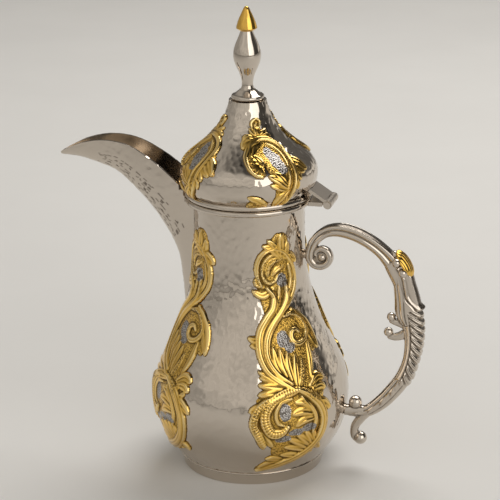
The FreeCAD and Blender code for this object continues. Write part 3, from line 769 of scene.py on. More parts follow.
# %% Hammer and chase the spout
BLOW_ROWS, BLOWS_ACROSS, STRAY = 44, 21, 0.8
ROWS, COLUMNS, MIDDLE = 160, 81, 40
OUTER_FROM = 0.9
DASH_ROWS, DASHES_ACROSS = 19, 6
ROW_START, ROW_STEP, FLANK_START, FLANK_STEP = 0.31, 0.027, 0.30, 0.065
DASH_LENGTH, DASH_WIDTH = 0.0085, 0.014
chance = np.random.default_rng(31)
jitter = chance.normal(0, STRAY, (BLOW_ROWS * BLOWS_ACROSS, 3))
blows = (trough(BLOW_ROWS, BLOWS_ACROSS).reshape(-1, 3) + jitter) * MM
sheet = nearest_of(trough(ROWS, COLUMNS).reshape(-1, 3) * MM)
nearest = np.array([sheet.find(point)[1:] for point in points_of(spout)])
outer = nearest[:, 1] > OUTER_FROM * MM
strike(spout, outer, blows, depth=0.09, tilt=0.045, seed=32)
row, side = nearest[:, 0] // COLUMNS / ROWS, np.abs(nearest[:, 0] % COLUMNS - MIDDLE) / MIDDLE
dashes = np.zeros(len(row))
for index in range(DASHES_ACROSS * DASH_ROWS):
    at = ROW_START + ROW_STEP * (index // DASHES_ACROSS) + chance.normal(0, 0.005)
    apart = FLANK_START + FLANK_STEP * (index % DASHES_ACROSS) + chance.normal(0, 0.008)
    if chance.random() < 0.72 - 0.5 * abs(at - 0.55):
        dashes[outer & (np.abs(row - at) < DASH_LENGTH) & (np.abs(side - apart) < DASH_WIDTH)] = 1.0
strike(spout, outer, points_of(spout)[dashes > 0], depth=0.10, tilt=0.0, seed=33, reach=1.0)
smooth(spout, angle=40)
# The dashes are painted dark as well as dented: a painted dark reflection.
paint(spout, "hollow", dashes)
hang(spout, "pot", chased_silver, "spout")

# %% [markdown]
# ## The gilt scrolls
# Four tall ornaments climb the vessel and four cartouches sit on the lid, all copies of two drawings. On the
# real pot they are chased plates: a low punched ground, rolled stems and veined leaves. Carving them by hand
# would take days, so each is drawn as strokes on the unrolled skin, as a chaser scribes them, and the strokes
# are swept into a height for every point of a fine grid. The grid is trimmed to the drawing, extruded into a
# plate, lifted to its heights and bent onto the skin. A ground stroke is a low field, a band a fluted stem, a rib
# a stem with beading and a leaf a veined blade. A spot only marks bare silver, and a grain only punched metal.
# Most copies are turned round the pot. The vessel's far one beside the handle is a mirror image, so that both
# keep the same distance from the handle.

# %% Strokes of the vessel's ornament: across and up in millimetres, then width
VESSEL_STROKES = (
    ("ground", ((1, 164.5), (-1.5, 152), (-3.5, 134.5), (-5.5, 119.5)), (13, 28, 25, 16)),  # neck field
    ("ground", ((-4.5, 117), (-3, 103), (-5.5, 88.5), (-5, 73)), (18, 31, 31, 28)),  # middle field
    ("ground", ((-5, 70.5), (-8.5, 59.5), (-7.5, 46.5), (-7, 32.5)), (34, 49, 47, 28)),  # belly field
    ("leaf", ((0.5, 154), (-5.5, 161), (-11.5, 163.5)), 6),  # crest, left
    ("leaf", ((1.5, 154.5), (-3.5, 163), (-8, 167)), 6),  # crest, shoulder
    ("leaf", ((2, 154.5), (1.5, 163), (1.5, 170)), 6.5),  # crest, point
    ("leaf", ((3.5, 153.5), (6, 159), (6.5, 164.5)), 5.5),  # crest, right
    ("band", ((-13, 136), (-15.5, 143.5), (-15, 152), (-11.5, 158), (-5, 161), (2.5, 158.5), (8.5, 151),
              (11.5, 142), (11, 133.5), (6.5, 125.5), (0, 119), (-6, 115)), 3.4),  # ring round the upper curl
    ("band", ((2, 155), (-5, 156.5), (-10, 152.5), (-12, 147), (-11, 141),
              (-8, 138), (-3.5, 139.5), (-1.5, 142.5), (2, 143.5)), 2.2),  # lip of the curl
    ("leaf", ((0.5, 153.5), (-5.5, 152.5), (-9, 148), (-8.5, 142.5)), 6),  # body of the curl
    ("leaf", ((2, 148.5), (-2.5, 146.5), (-6, 143)), 4.5),  # ridge of the curl
    ("leaf", ((5.5, 155), (9, 144), (6.5, 133.5)), 4.6),  # blade beside it
    ("band", ((6.5, 148.5), (8.5, 140), (6.5, 132), (3, 125), (-2.5, 119)), 3),  # right stem
    ("band", ((-1, 135.5), (-2, 128.5), (-3, 123), (-6, 117)), 2.4),  # loop stem
    ("leaf", ((-6, 134.5), (-13, 130.5), (-19.5, 134)), 6),  # hook
    ("leaf", ((-12, 136), (-15.5, 138), (-17, 142)), 4.6),  # lobe over the hook
    ("leaf", ((-4, 129), (-7.5, 132), (-9.5, 134)), 4),  # small curl
    ("band", ((-9.5, 135), (-5.5, 129), (-6.5, 122), (-12, 115.5), (-18, 107.5),
              (-20.5, 100), (-21, 91.5), (-18.5, 83.5), (-12, 77.5), (-2.5, 70.5)), 5.4),  # outer stem
    ("band", ((3.5, 136.5), (3.5, 126), (-1.5, 119), (-7.5, 113), (-13, 106),
              (-16, 98.5), (-16.5, 90.5), (-13.5, 83), (-5, 75)), 5),  # inner stem
    ("band", ((-1, 115.5), (6, 116.5), (12.5, 111.5), (15, 103.5), (11.5, 98.5),
              (5.5, 97.5), (2, 100.5), (2.5, 105), (6, 106.5), (8.5, 104)), 3.6),  # middle spiral
    ("ground", ((9, 112), (11.5, 99), (7, 84), (5, 73)), (10, 14, 13, 12)),  # field beside it
    ("leaf", ((6, 118), (15.5, 107), (23, 90.5)), 8),  # right leaf
    ("band", ((5.5, 119.5), (12.5, 114.5), (17.5, 106.5), (20, 99), (22.5, 91.5)), 2.2),  # edge of the right leaf
    ("leaf", ((13.5, 97), (13, 86), (10, 75.5)), 5),  # right leaf, lower
    ("ground", ((15, 104), (18.5, 92)), (8, 4)),  # field under the right leaf
    ("ground", ((8, 71), (15.5, 68)), (11, 8)),  # field under the right lobe
    ("leaf", ((9, 71.5), (15.5, 75), (21, 73)), 7.6),  # right lobe
    ("leaf", ((10.5, 69), (16.5, 69.5), (21, 66.5)), 6.2),  # right lobe, lower
    ("leaf", ((3, 155), (9, 153), (14, 148.5)), 7.4),  # neck spur
    ("leaf", ((4, 31.5), (11, 30), (17.5, 24)), 6.4),  # foot spur
    ("leaf", ((-7, 76.5), (-11.5, 87), (-12, 98)), 6.2),  # flame, first
    ("leaf", ((-5, 75.5), (-7.5, 86), (-7.5, 96.5)), 6.2),  # flame, second
    ("leaf", ((-3, 74.5), (-4, 85), (-3, 94)), 6.2),  # flame, third
    ("leaf", ((-1, 73.5), (0.5, 83), (2, 92)), 5.6),  # flame, fourth
    ("leaf", ((0.5, 72.5), (4.5, 80), (6.5, 88.5)), 5),  # flame, fifth
    ("leaf", ((-18, 99.5), (-22.5, 102.5), (-27, 104)), 6),  # bud
    ("leaf", ((-19, 98), (-23, 99), (-26.5, 99.5)), 4.6),  # bud, lower half
    ("leaf", ((-6.5, 73), (-16.5, 79), (-25.5, 84.5)), 6.5),  # left leaf, top
    ("leaf", ((-11.5, 76.5), (-19, 79), (-25.5, 80.5)), 5),  # left leaf, notch
    ("leaf", ((-5.5, 72), (-16.5, 75), (-27.5, 76)), 7),  # left leaf, middle
    ("leaf", ((-5.5, 70.5), (-16.5, 71.5), (-29, 70)), 6.5),  # left leaf, low
    ("rib", ((-1, 70.5), (-12, 69.5), (-20.5, 65.5), (-26, 58),
             (-25.5, 50), (-21, 44), (-15, 44.5), (-11.5, 48)), 7),  # belly scroll
    ("band", ((-7, 66), (-15, 64), (-19, 57.5), (-17.5, 51), (-13.5, 49)), 2.4),  # lip of the scroll
    ("rib", ((-13, 68), (-24, 65), (-31, 59.5),
             (-34, 51.5), (-30.5, 43), (-26, 35.5)), 6),  # strip beside the scroll
    ("leaf", ((-25.5, 63.5), (-31.5, 61.5), (-36.5, 59.5)), 6),  # corner of the strip
    ("leaf", ((-32, 48), (-29, 39.5), (-26, 32.5)), 6),  # tail of the strip
    ("leaf", ((-28.5, 45), (-24, 38), (-20.5, 34)), 5),  # tail, inner
    ("leaf", ((7, 56.5), (1, 63), (-5.5, 63.5)), 7),  # lobe, upper
    ("leaf", ((7.5, 54), (0, 57), (-8, 56)), 7.5),  # lobe, middle
    ("leaf", ((8.5, 50.5), (1, 51), (-5.5, 47.5)), 7),  # lobe, lower
    ("band", ((-2.5, 71.5), (5.5, 67), (13.5, 59), (17.5, 48.5), (15.5, 37),
              (9, 29), (0, 23.5), (-11, 19.5), (-26, 14.5)), 7),  # great leaf
    ("leaf", ((10, 62), (17.5, 58), (24, 52.5)), 7.6),  # tip of the great leaf
    ("leaf", ((7, 65), (10.5, 67), (13.5, 70)), 4),  # spur, left
    ("leaf", ((11.5, 61), (15.5, 63), (18.5, 66.5)), 4),  # spur, right
    ("band", ((0, 66.5), (6, 59), (10, 49.5), (7.5, 40.5)), 3.4),  # inner leaf
    ("leaf", ((9.5, 24.5), (-2, 30.5), (-12.5, 33)), 6),  # fan, lowest
    ("leaf", ((9, 26.5), (-2, 34.5), (-10.5, 39)), 6),  # fan, second
    ("leaf", ((9.5, 28), (1.5, 36.5), (-4.5, 41.5)), 6),  # fan, third
    ("leaf", ((10, 28.5), (6, 36.5), (2, 42)), 5.6),  # fan, fourth
    ("leaf", ((11.5, 29.5), (10, 36), (7.5, 42)), 5),  # fan, fifth
    ("leaf", ((3.5, 22), (-5.5, 25.5), (-14, 27)), 6),  # fan, under
    ("leaf", ((-9, 20.5), (-18.5, 20.5), (-26.5, 16.5)), 6),  # foot leaf
    ("leaf", ((-12, 23), (-19, 24.5), (-23.5, 24)), 4.6),  # foot leaf, upper
    ("spot", ((1, 139),), (7, 9)),  # silver in the neck
    ("spot", ((-4, 101.5),), (8, 10)),  # silver in the middle
    ("spot", ((-0.5, 96),), (7, 6)),  # silver beside it
    ("spot", ((-12.5, 58),), (7.5, 11)),  # silver in the belly
    ("spot", ((-14, 39.5),), (10, 4.5)),  # silver strip, left
    ("spot", ((-5, 43),), (10, 4.5)),  # silver strip, middle
    ("spot", ((4.5, 44.5),), (10, 5)),  # silver strip, right
    ("grain", ((0, 151.5), (-8.5, 151), (-10.5, 144), (-6.5, 139)), 8),  # curl
    ("grain", ((-15.5, 136), (-16.5, 142)), 7),  # lobe
    ("grain", ((1, 114.5), (8.5, 113), (12.5, 105)), 6),  # middle spiral
    ("grain", ((6.5, 93.5), (4.5, 83), (3.5, 74), (8.5, 65)), 6),  # right edge
    ("grain", ((-24, 64.5), (-31.5, 58.5), (-32, 48)), 7),  # strip
)
print("vessel strokes", len(VESSEL_STROKES))

# %% Strokes of the lid's cartouche
LID_STROKES = (
    ("ground", ((-6, 229), (-12, 223), (-14, 217.5), (-14, 214)), (7, 12, 11.5, 6)),  # shell field
    ("ground", ((-1, 228), (2.5, 222.5), (3, 216.5),
                (2, 210), (-0.5, 202.5), (-2.5, 194)), (6, 12, 14, 13, 11, 8)),  # right field
    ("ground", ((-4.5, 226.5), (-4.5, 220.5), (-4.5, 215), (-3, 211)), (6, 9, 9, 8)),  # middle field
    ("ground", ((-4, 239), (-5.5, 233.5)), (5, 9)),  # crest field
    ("ground", ((9.5, 217), (14, 212.5)), (9, 5)),  # side field
    ("ground", ((-22, 193), (-18.5, 195.5), (-12.5, 192.5)), (4, 7, 5)),  # foot field
    ("band", ((-14, 211), (-18.5, 212.5), (-20.5, 215.5), (-19.5, 220), (-16, 224), (-11.5, 228),
              (-6.5, 230.5), (-1, 230.5), (4, 228.5), (8, 224.5), (9.5, 219.5), (10, 214.5), (9.5, 209.5),
              (8, 203.5), (5, 197.5), (2, 193)), 2.9),  # ring
    ("band", ((-1.5, 227.5), (2.5, 225), (5.5, 221), (6, 217), (5, 212), (4, 207.5), (2, 202.5)), 2),  # inner ridge
    ("leaf", ((-14.5, 221.5), (-11.5, 226), (-5, 228.5)), 6),  # bowl of the shell
    ("leaf", ((-11, 219.5), (-13, 222), (-15.5, 223)), 2.5),  # flute, first
    ("leaf", ((-11.5, 219), (-15, 220), (-18, 220)), 2.5),  # flute, second
    ("leaf", ((-11.5, 218.5), (-16, 218), (-19.5, 217.5)), 2.5),  # flute, third
    ("leaf", ((-11.5, 218.5), (-16.5, 216.5), (-19.5, 215)), 2.5),  # flute, fourth
    ("leaf", ((-11.5, 218), (-16, 215), (-18, 213)), 2.5),  # flute, fifth
    ("leaf", ((-11.5, 217.5), (-14, 214), (-15.5, 212)), 2.5),  # flute, sixth
    ("leaf", ((-12, 221), (-11, 219), (-10, 217)), 5),  # boss of the shell
    ("leaf", ((2.5, 203), (-4.5, 208.5), (-10, 211.5)), 5.4),  # flame, first
    ("leaf", ((1.5, 205.5), (-2.5, 210.5), (-5.5, 213)), 4.6),  # flame, second
    ("leaf", ((2.5, 206.5), (0.5, 210), (-1.5, 212.5)), 3.4),  # flame, third
    ("leaf", ((0.5, 202), (-5, 204.5), (-10, 206.5)), 4.6),  # flame, lowest
    ("leaf", ((1.5, 201), (-3, 197), (-6.5, 191.5)), 6.2),  # foot, middle
    ("leaf", ((1, 199), (0.5, 194.5), (-2, 190)), 4.4),  # foot, end
    ("leaf", ((-11.5, 192.5), (-18.5, 197), (-24.5, 199)), 5),  # foot, left
    ("leaf", ((-12, 191.5), (-18, 194), (-23.5, 192)), 6),  # foot, lowest
    ("band", ((-7, 236), (-7, 239.5), (-5.5, 241.5), (-3, 242.5), (-1, 241),
              (-1.5, 238.5), (-3, 237), (-5, 237.5), (-4.5, 239), (-3.5, 239.5)), 1.7),  # crest curl
    ("leaf", ((-5, 232), (-7.5, 234.5), (-9, 237)), 3.6),  # crest, left
    ("leaf", ((-5.5, 232), (-5, 235), (-4.5, 237)), 4.4),  # crest, middle
    ("leaf", ((-4.5, 232), (-0.5, 234), (2, 236)), 3.6),  # crest, right
    ("leaf", ((-3.5, 232), (0.5, 232.5), (4, 231.5)), 3.4),  # crest, low right
    ("leaf", ((-7, 231), (-11.5, 231.5), (-16, 228.5)), 4.8),  # shoulder
    ("leaf", ((-10, 230), (-15, 228.5), (-18.5, 225.5)), 4.2),  # shoulder, low
    ("leaf", ((9.5, 219), (15, 216), (21, 211)), 5.2),  # side, tip
    ("leaf", ((9.5, 215.5), (13.5, 212.5), (18.5, 210)), 4.4),  # side, middle
    ("leaf", ((9.5, 213), (12.5, 209), (13.5, 206)), 4.2),  # side, low
    ("leaf", ((9, 208), (10.5, 204.5), (10, 200.5)), 3.6),  # side, lowest
    ("spot", ((-3, 222.5),), (6, 6.5)),  # silver, upper
    ("spot", ((-1, 219),), (8, 8)),  # silver, middle
    ("spot", ((1, 215),), (6.5, 7)),  # silver, lower
    ("grain", ((-3.5, 223), (1.5, 214.5)), 9),  # field
    ("grain", ((-21.5, 194.5), (-13.5, 193)), 5),  # foot
)
print("lid strokes", len(LID_STROKES))

# %% Follow a stroke


def follow(across, up, line):
    best = np.full(across.shape, np.inf)
    share = np.zeros(across.shape)
    hand = np.ones(across.shape)
    for index, (start, end) in enumerate(zip(line, line[1:])):
        run = end - start
        ahead = (across - start[0]) * run[0] + (up - start[1]) * run[1]
        t = np.clip(ahead / max(run @ run, 1e-9), 0, 1)
        off_across, off_up = across - start[0] - t * run[0], up - start[1] - t * run[1]
        gap = off_across ** 2 + off_up ** 2
        nearer = gap < best
        best = np.where(nearer, gap, best)
        share = np.where(nearer, (index + t) / (len(line) - 1), share)
        hand = np.where(nearer, np.sign(run[0] * off_up - run[1] * off_across), hand)
    return np.sqrt(best), share, hand


side_gap = follow(np.array([2.0]), np.array([5.0]), np.array(((0.0, 0.0), (0.0, 9.0))))[0]
print("gap beside a stroke", side_gap, "mm")

# %% Heights and widths of stems and leaves


def hump(value, middle, width):
    return np.exp(-((value - middle) / width) ** 2)


def stem_height(x, width):
    body = np.sqrt(np.clip(1 - np.abs(x) ** 3.2, 0, 1)) * (1 - 0.16 * x)
    flutes = 0.26 * (hump(x, 0.0, 0.2) if width < 4 else hump(np.abs(x), 0.42, 0.11))
    return (0.75 + 0.26 * min(width, 5.0)) * (body - flutes) + 0.35


def leaf_height(x, share, width):
    blade = np.sqrt(np.clip(1 - np.abs(x) ** 2.6, 0, 1)) * (0.84 + 0.20 * x)
    vein = 0.40 * hump(x, 0.0, 0.13) * (1 - 0.8 * share)
    swell = 0.72 + 0.28 * np.sin(math.pi * np.clip(share, 0, 1))
    return (0.7 + 0.18 * min(width, 6.0)) * (blade * swell - vein) + 0.3


def stem_half(share, width):
    return width / 2 * np.minimum(1.0, 0.45 + 4.0 * np.minimum(share, 1 - share))


def leaf_half(share, width):
    widening = 0.55 + 0.45 * np.clip(share / 0.38, 0, 1)
    closing = np.sqrt(np.clip(1 - (np.clip(share - 0.38, 0, 1) / 0.62) ** 2.2, 0, 1))
    return np.maximum(width / 2 * widening * closing, 0.25)


print("a stem of 5 mm is", round(float(stem_height(0.2, 5.0)), 2), "mm high")

# %% Carve a drawing


def carve(strokes, across, up):
    height, ground, bare, grain = np.zeros((4, *across.shape))
    for kind, points, width in strokes:
        if kind == "spot":
            (u, z), (wide, tall) = points[0], width
            far = ((across - u) / (0.75 * wide)) ** 2 + ((up - z) / (0.75 * tall)) ** 2
            bare = np.maximum(bare, 1 - far)
            continue
        widest = max(width) if kind == "ground" else width
        line = through(points, max(8, int(4 * len(points))))
        low, high = line.min(0) - widest, line.max(0) + widest
        near = (across > low[0]) & (across < high[0]) & (up > low[1]) & (up < high[1])
        gap, share, hand = follow(across[near], up[near], line)
        if kind == "ground":
            half = np.interp(share, np.linspace(0, 1, len(width)), width) / 2
            ground[near] = np.maximum(ground[near], 0.75 * np.clip((1 - gap / half) * 6, 0, 1) ** 0.5)
            continue
        if kind == "grain":
            grain[near] = np.maximum(grain[near], np.clip(2 - 4 * gap / width, 0, 1))
            continue
        half = leaf_half(share, width) if kind == "leaf" else stem_half(share, width)
        x = gap / half * hand
        lift = leaf_height(x, share, width) if kind == "leaf" else stem_height(x, width)
        if kind == "rib":
            run = np.linalg.norm(np.diff(line, axis=0), axis=1).sum()
            lift = lift + 0.28 * np.cos(2 * math.pi * share * run / 1.9) * (1 - x ** 2)
        height[near] = np.maximum(height[near], np.where(np.abs(x) < 1, lift, 0))
    return height, ground, np.clip(bare, 0, 1), grain


def softened(field, times):
    for _ in range(times):
        padded = np.pad(field, 1, mode="edge")
        field = (padded[1:-1, :-2] + padded[1:-1, 2:] + padded[:-2, 1:-1] + padded[2:, 1:-1]
                 + 2 * padded[1:-1, 1:-1]) / 6
    return field


print("chasing tools ready")

# %% Bend a chased plate onto the skin
FIRST_SIDE = math.radians(-45)
SUNK = -0.55
SOFTEN_PASSES, HOLLOW_DEPTH, CREST_HEIGHT = 14, 0.22, 0.35


def on_skin(line, turn, across, up, lift):
    radius, out, climb = skin_at(line, up)
    angle = turn + across / radius
    reach = radius + lift * out
    return np.column_stack((reach * np.cos(angle), reach * np.sin(angle), up + lift * climb)) * MM


def raise_plate(plate, kept):
    corners = np.empty(len(plate.data.polygons) * 4, dtype=int)
    plate.data.polygons.foreach_get("vertices", corners)
    outside = ~kept.ravel()[corners.reshape(-1, 4)].any(axis=1)
    bpy.ops.object.mode_set(mode="EDIT")
    bpy.ops.mesh.select_mode(type="FACE")
    bpy.ops.object.mode_set(mode="OBJECT")
    plate.data.polygons.foreach_set("select", outside)
    bpy.ops.object.mode_set(mode="EDIT")
    bpy.ops.mesh.delete(type="FACE")
    bpy.ops.mesh.select_all(action="SELECT")
    bpy.ops.mesh.extrude_region_move(TRANSFORM_OT_translate={"value": (0, 0, MM)})
    bpy.ops.mesh.select_mode(type="VERT")
    bpy.ops.object.mode_set(mode="OBJECT")
    raised = np.empty(len(plate.data.vertices), dtype=bool)
    plate.data.vertices.foreach_get("select", raised)
    return raised


def take_field(plate, label):
    layer = plate.data.attributes[label]
    values = np.empty(len(plate.data.vertices), dtype=np.float32)
    layer.data.foreach_get("value", values)
    plate.data.attributes.remove(layer)
    return values


def chased(name, strokes, line, left, right, low, high, cell, most):
    columns, rows = int((right - left) / cell), int((high - low) / cell)
    clear_selection()
    bpy.ops.mesh.primitive_grid_add(x_subdivisions=columns, y_subdivisions=rows, size=1.0)
    plate = bpy.context.object
    plate.name = name
    across, up = np.meshgrid(np.linspace(left, right, columns + 1), np.linspace(low, high, rows + 1))
    height, ground, bare, grain = carve(strokes, across, up)
    kept = (height > 0) | (ground > 0.02)
    total = np.minimum(softened(np.maximum(height, ground), 1) * kept, most)
    smoothed = softened(total, SOFTEN_PASSES)
    # The hollow value sets painted shade and the crest value a painted highlight.
    fields = {"across": across, "up": up, "lift": total, "silver": bare,
              "hollow": np.clip((smoothed - total) / HOLLOW_DEPTH, 0, 1),
              "crest": np.clip((total - smoothed) / CREST_HEIGHT, 0, 1),
              "grain": np.maximum(grain, (ground > 0.3) & (height < ground + 0.05))}
    for label, values in fields.items():
        paint(plate, label, values.ravel())
    raised = raise_plate(plate, kept)
    across, up, lift = (take_field(plate, label) for label in ("across", "up", "lift"))
    put_points(plate, on_skin(line, FIRST_SIDE, across, up, np.where(raised, lift, SUNK)))
    weld(plate, gap=0.0005)
    smooth(plate)
    return plate


print("bending ready, first side at", round(math.degrees(FIRST_SIDE)), "degrees")

# %% Chase one ornament of each kind and copy it round the pot


def four_sides(master, body, stem, places):
    for side, (turn, hand) in places.items():
        copy = master.copy()
        copy.data = master.data.copy()
        copy.name = stem + side + "_chased"
        bpy.context.collection.objects.link(copy)
        move = np.array(Matrix.Rotation(math.radians(turn), 3, "Z")) @ np.diag((1, hand, 1))
        put_points(copy, points_of(master) @ move.T)
        if hand < 0:
            take(copy)
            bpy.ops.object.mode_set(mode="EDIT")
            bpy.ops.mesh.select_all(action="SELECT")
            bpy.ops.mesh.flip_normals()
            bpy.ops.object.mode_set(mode="OBJECT")
        hang(copy, body, carved_gilt, stem + side)
    hang(master, body, carved_gilt, stem + "handle_near")


vessel_scroll = chased("body_ornament_handle_near_chased", VESSEL_STROKES, body_line,
                       left=-38, right=27, low=12, high=171, cell=0.42, most=2.45)
four_sides(vessel_scroll, "pot", "body_ornament_",
           {"handle_far": (0, -1), "spout_near": (-90, 1), "spout_far": (180, 1)})
lid_scroll = chased("lid_ornament_handle_near_chased", LID_STROKES, lid_line,
                    left=-27, right=21, low=190.5, high=243, cell=0.36, most=2.3)
four_sides(lid_scroll, "lid", "lid_ornament_",
           {"handle_far": (106, 1), "spout_near": (-90, 1), "spout_far": (180, 1)})

# %% [markdown]
# ## The handle
# The handle is cast in two lengths. The upper arm curls out of the neck in a volute and arches over, with a
# shallow channel along its back whose floor is painted dark, a painted dark reflection. The grip below it is an
# acanthus leaf: a sheath that ends in a lip, then a row of slanting leaflets along the back, and a thin fluted stem
# down to the belly. Both are swept: a grid is rolled round a bent line, and its section is pushed in and out along
# the way. A voxel remesh then melts bars, balls and stems into one casting. Each row of a bent line gives a place,
# a heading and a depth.

# %% Sweep a bar


def swept(name, rows, half_width, shape, around, length):
    def place(count, columns):
        line = through(rows, count)
        travel = np.linspace(0, 1, count)[:, None]
        turn = np.linspace(0, 2 * math.pi, columns)[None, :]
        deep = np.sign(np.cos(turn)) * np.abs(np.cos(turn)) ** 0.8
        wide = np.sign(np.sin(turn)) * np.abs(np.sin(turn)) ** 0.8
        heading = np.radians(line[:, 2:3])
        back = np.stack((-np.sin(heading), np.cos(heading)), -1)
        reach_deep, reach_wide = shape(travel, deep, wide, line[:, 3:4])
        close = np.clip(np.minimum(travel, 1 - travel) * count / 5, 0, 1) ** 0.5
        reach_deep, reach_wide = reach_deep * close, reach_wide * close
        out = line[:, 0:1] + back[..., 0] * reach_deep
        up = line[:, 1:2] + back[..., 1] * reach_deep
        return np.stack((out, half_width(travel) * reach_wide, up), -1)

    piece = woven(name, around, length, place)
    weld(piece, gap=0.01)
    return piece


def ball(name, place, radius, flat=1.0):
    clear_selection()
    bpy.ops.mesh.primitive_uv_sphere_add(segments=40, ring_count=24, radius=radius * MM,
                                         location=[value * MM for value in place])
    piece = bpy.context.object
    piece.name = name
    piece.scale = (1.0, flat, 1.0)
    bpy.ops.object.transform_apply(location=True, rotation=True, scale=True)
    return piece


print("bars and balls ready")

# %% Cast parts into one, and paint shade into its hollows
STATIONS = 300


def cast(name, parts, grain, polish):
    piece = joined(name, parts)
    worked(piece, "REMESH", mode="VOXEL", voxel_size=grain * MM)
    worked(piece, "SMOOTH", factor=0.5, iterations=polish)
    smooth(piece)
    return piece


def hollows(piece, times, depth):
    points, normals = points_of(piece), normals_of(piece)
    ends = np.empty(len(piece.data.edges) * 2, dtype=int)
    piece.data.edges.foreach_get("vertices", ends)
    first, second = ends[0::2], ends[1::2]
    count = len(points)
    friends = np.bincount(first, minlength=count) + np.bincount(second, minlength=count)
    smoothed = points.copy()
    for _ in range(times):
        total = np.empty_like(smoothed)
        for axis in range(3):
            total[:, axis] = (np.bincount(first, smoothed[second, axis], count)
                              + np.bincount(second, smoothed[first, axis], count))
        smoothed = 0.3 * smoothed + 0.7 * total / np.maximum(friends, 1)[:, None]
    return np.clip(np.einsum("ij,ij->i", smoothed - points, normals) / (depth * MM), 0, 1)


def paint_hollow_shade(piece, rows, first, last, reach):
    fine, broad = hollows(piece, times=10, depth=0.09), hollows(piece, times=120, depth=0.7)
    points = points_of(piece) / MM
    line = through(rows, STATIONS)
    tree = nearest_of([(out, 0, up) for out, up in line[:, :2]])
    near = np.array([tree.find((x, 0, z))[1] for x, y, z in points])
    heading = np.radians(line[near, 2])
    out, up = points[:, 0] - line[near, 0], points[:, 2] - line[near, 1]
    outside = up * np.cos(heading) - out * np.sin(heading) > 0.3 * line[near, 3]
    in_channel = outside & (near > STATIONS * first) & (near < STATIONS * last)
    # The channel floor is painted dark, a painted dark reflection; the hollows get painted shade, partly tarnish.
    channel = in_channel * np.clip((reach - np.abs(points[:, 1])) / 0.5, 0, 1)
    paint(piece, "hollow", np.maximum(np.maximum(fine, 0.8 * broad), channel))


print("casting ready")

# %% Roots of the handle


def rise(low, high, value):
    t = np.clip((value - low) / (high - low), 0, 1)
    return t * t * (3 - 2 * t)


neck_x, belly_x = skin_at(body_line, NECK_JOINT)[0], skin_at(body_line, BELLY_JOINT)[0]
print("handle roots at", round(neck_x, 2), "and", round(belly_x, 2))

# %% The upper arm and its volute
eye_x, eye_z = neck_x + 10.8, 148.2
CURL = ((560, 1.6, 1.2), (520, 2.9, 1.5), (480, 4.1, 1.8), (440, 5.2, 2.0), (400, 6.1, 2.2), (360, 6.7, 2.4),
        (320, 6.9, 2.4), (280, 6.8, 2.6), (240, 6.8, 2.9), (205, 6.7, 3.1))
ARM = ((5.7, 5.6, 74.0, 3.5), (9.2, 11.2, 48.0, 3.8), (14.0, 15.2, 28.0, 4.2), (20.6, 17.3, 8.0, 4.7),
       (28.0, 17.1, -9.0, 5.1), (35.2, 15.2, -21.0, 5.2), (44.0, 11.0, -30.0, 5.2), (53.0, 4.4, -40.0, 5.4),
       (57.8, -0.6, -48.0, 6.0), (63.0, -7.0, -57.0, 6.4))
arm_rows = []
for turn, reach, depth in CURL:
    out, up = reach * math.cos(math.radians(turn)), reach * math.sin(math.radians(turn))
    arm_rows.append((eye_x + out, eye_z + up, turn - 90.0, depth))
arm_rows += [(neck_x + out, NECK_JOINT + up, turn, depth) for out, up, turn, depth in ARM]


def arm_shape(travel, deep, wide, depth):
    open_part = rise(0.36, 0.48, travel)
    trough_in = rise(0.0, 0.3, 1 - np.abs(wide) / 0.86) * rise(0.2, 0.5, deep)
    flute = hump(deep, 0.02, 0.20) * rise(0.5, 0.8, np.abs(wide))
    reach_deep = depth * deep - 0.24 * depth * open_part * trough_in
    return reach_deep, wide * (1 - (0.08 + 0.14 * open_part) * flute)


def arm_width(travel):
    return 3.1 + 1.7 * rise(0.05, 0.45, travel)


arm_parts = [swept("arm_bar", arm_rows, arm_width, arm_shape, around=80, length=460),
             ball("volute_web", (eye_x, 0, eye_z), 6.6, flat=0.38),
             ball("volute_eye", (eye_x + 1.6, 0, eye_z - 0.4), 3.1, flat=1.35),
             ball("neck_pad", (neck_x + 2.3, 0, NECK_JOINT - 1.0), 3.6, flat=0.95)]
arm = cast("handle_arm_cast", arm_parts, grain=0.30, polish=2)
paint_hollow_shade(arm, arm_rows, first=0.44, last=0.98, reach=3.5)
hang(arm, "pot", cast_silver, "handle_arm")

# %% The lines of the leaf grip
GRIP = ((40.6, 89.0, -78.0, 7.2), (43.0, 76.0, -84.0, 7.6), (45.4, 64.0, -88.0, 6.9), (45.9, 54.0, -94.0, 6.1),
        (44.0, 40.0, -105.0, 5.2), (39.6, 27.4, -118.0, 5.4), (31.8, 15.9, -130.0, 5.3), (23.9, 7.1, -137.0, 4.9),
        (14.0, 0.1, -151.0, 3.9), (1.6, -1.2, -175.0, 2.7))
SHEATH = ((34.4, 105.6, -58.0, 6.0), (38.6, 99.3, -68.0, 7.5), (40.3, 92.3, -77.0, 8.2), (41.6, 86.5, -81.0, 8.9),
          (42.6, 80.7, -84.0, 9.6), (43.1, 75.0, -86.0, 9.9), (43.6, 70.0, -88.0, 9.0), (44.4, 65.0, -88.0, 6.4))
top = (neck_x + 58.5 - belly_x, 109.0, -52.0, 6.2)


def placed(rows):
    return [(belly_x + out, BELLY_JOINT + up, *rest) for out, up, *rest in rows]


def length_along(rows):
    return np.cumsum([0] + [math.dist(a[:2], b[:2]) for a, b in zip(rows, rows[1:])])


grip_rows, sheath_rows = placed((top,) + GRIP), placed(SHEATH)
grip_run, sheath_run = length_along(grip_rows), length_along(SHEATH)
print("grip", round(grip_run[-1], 1), "mm long, sheath", round(sheath_run[-1], 1), "mm")

# %% The sections of the leaf grip
LEAF_START, LEAF_LENGTH, LEAFLET = grip_run[2] - 1.0, grip_run[6] + 4.0 - grip_run[2], 5.5
SPINE, LIP = -0.20, 31.0


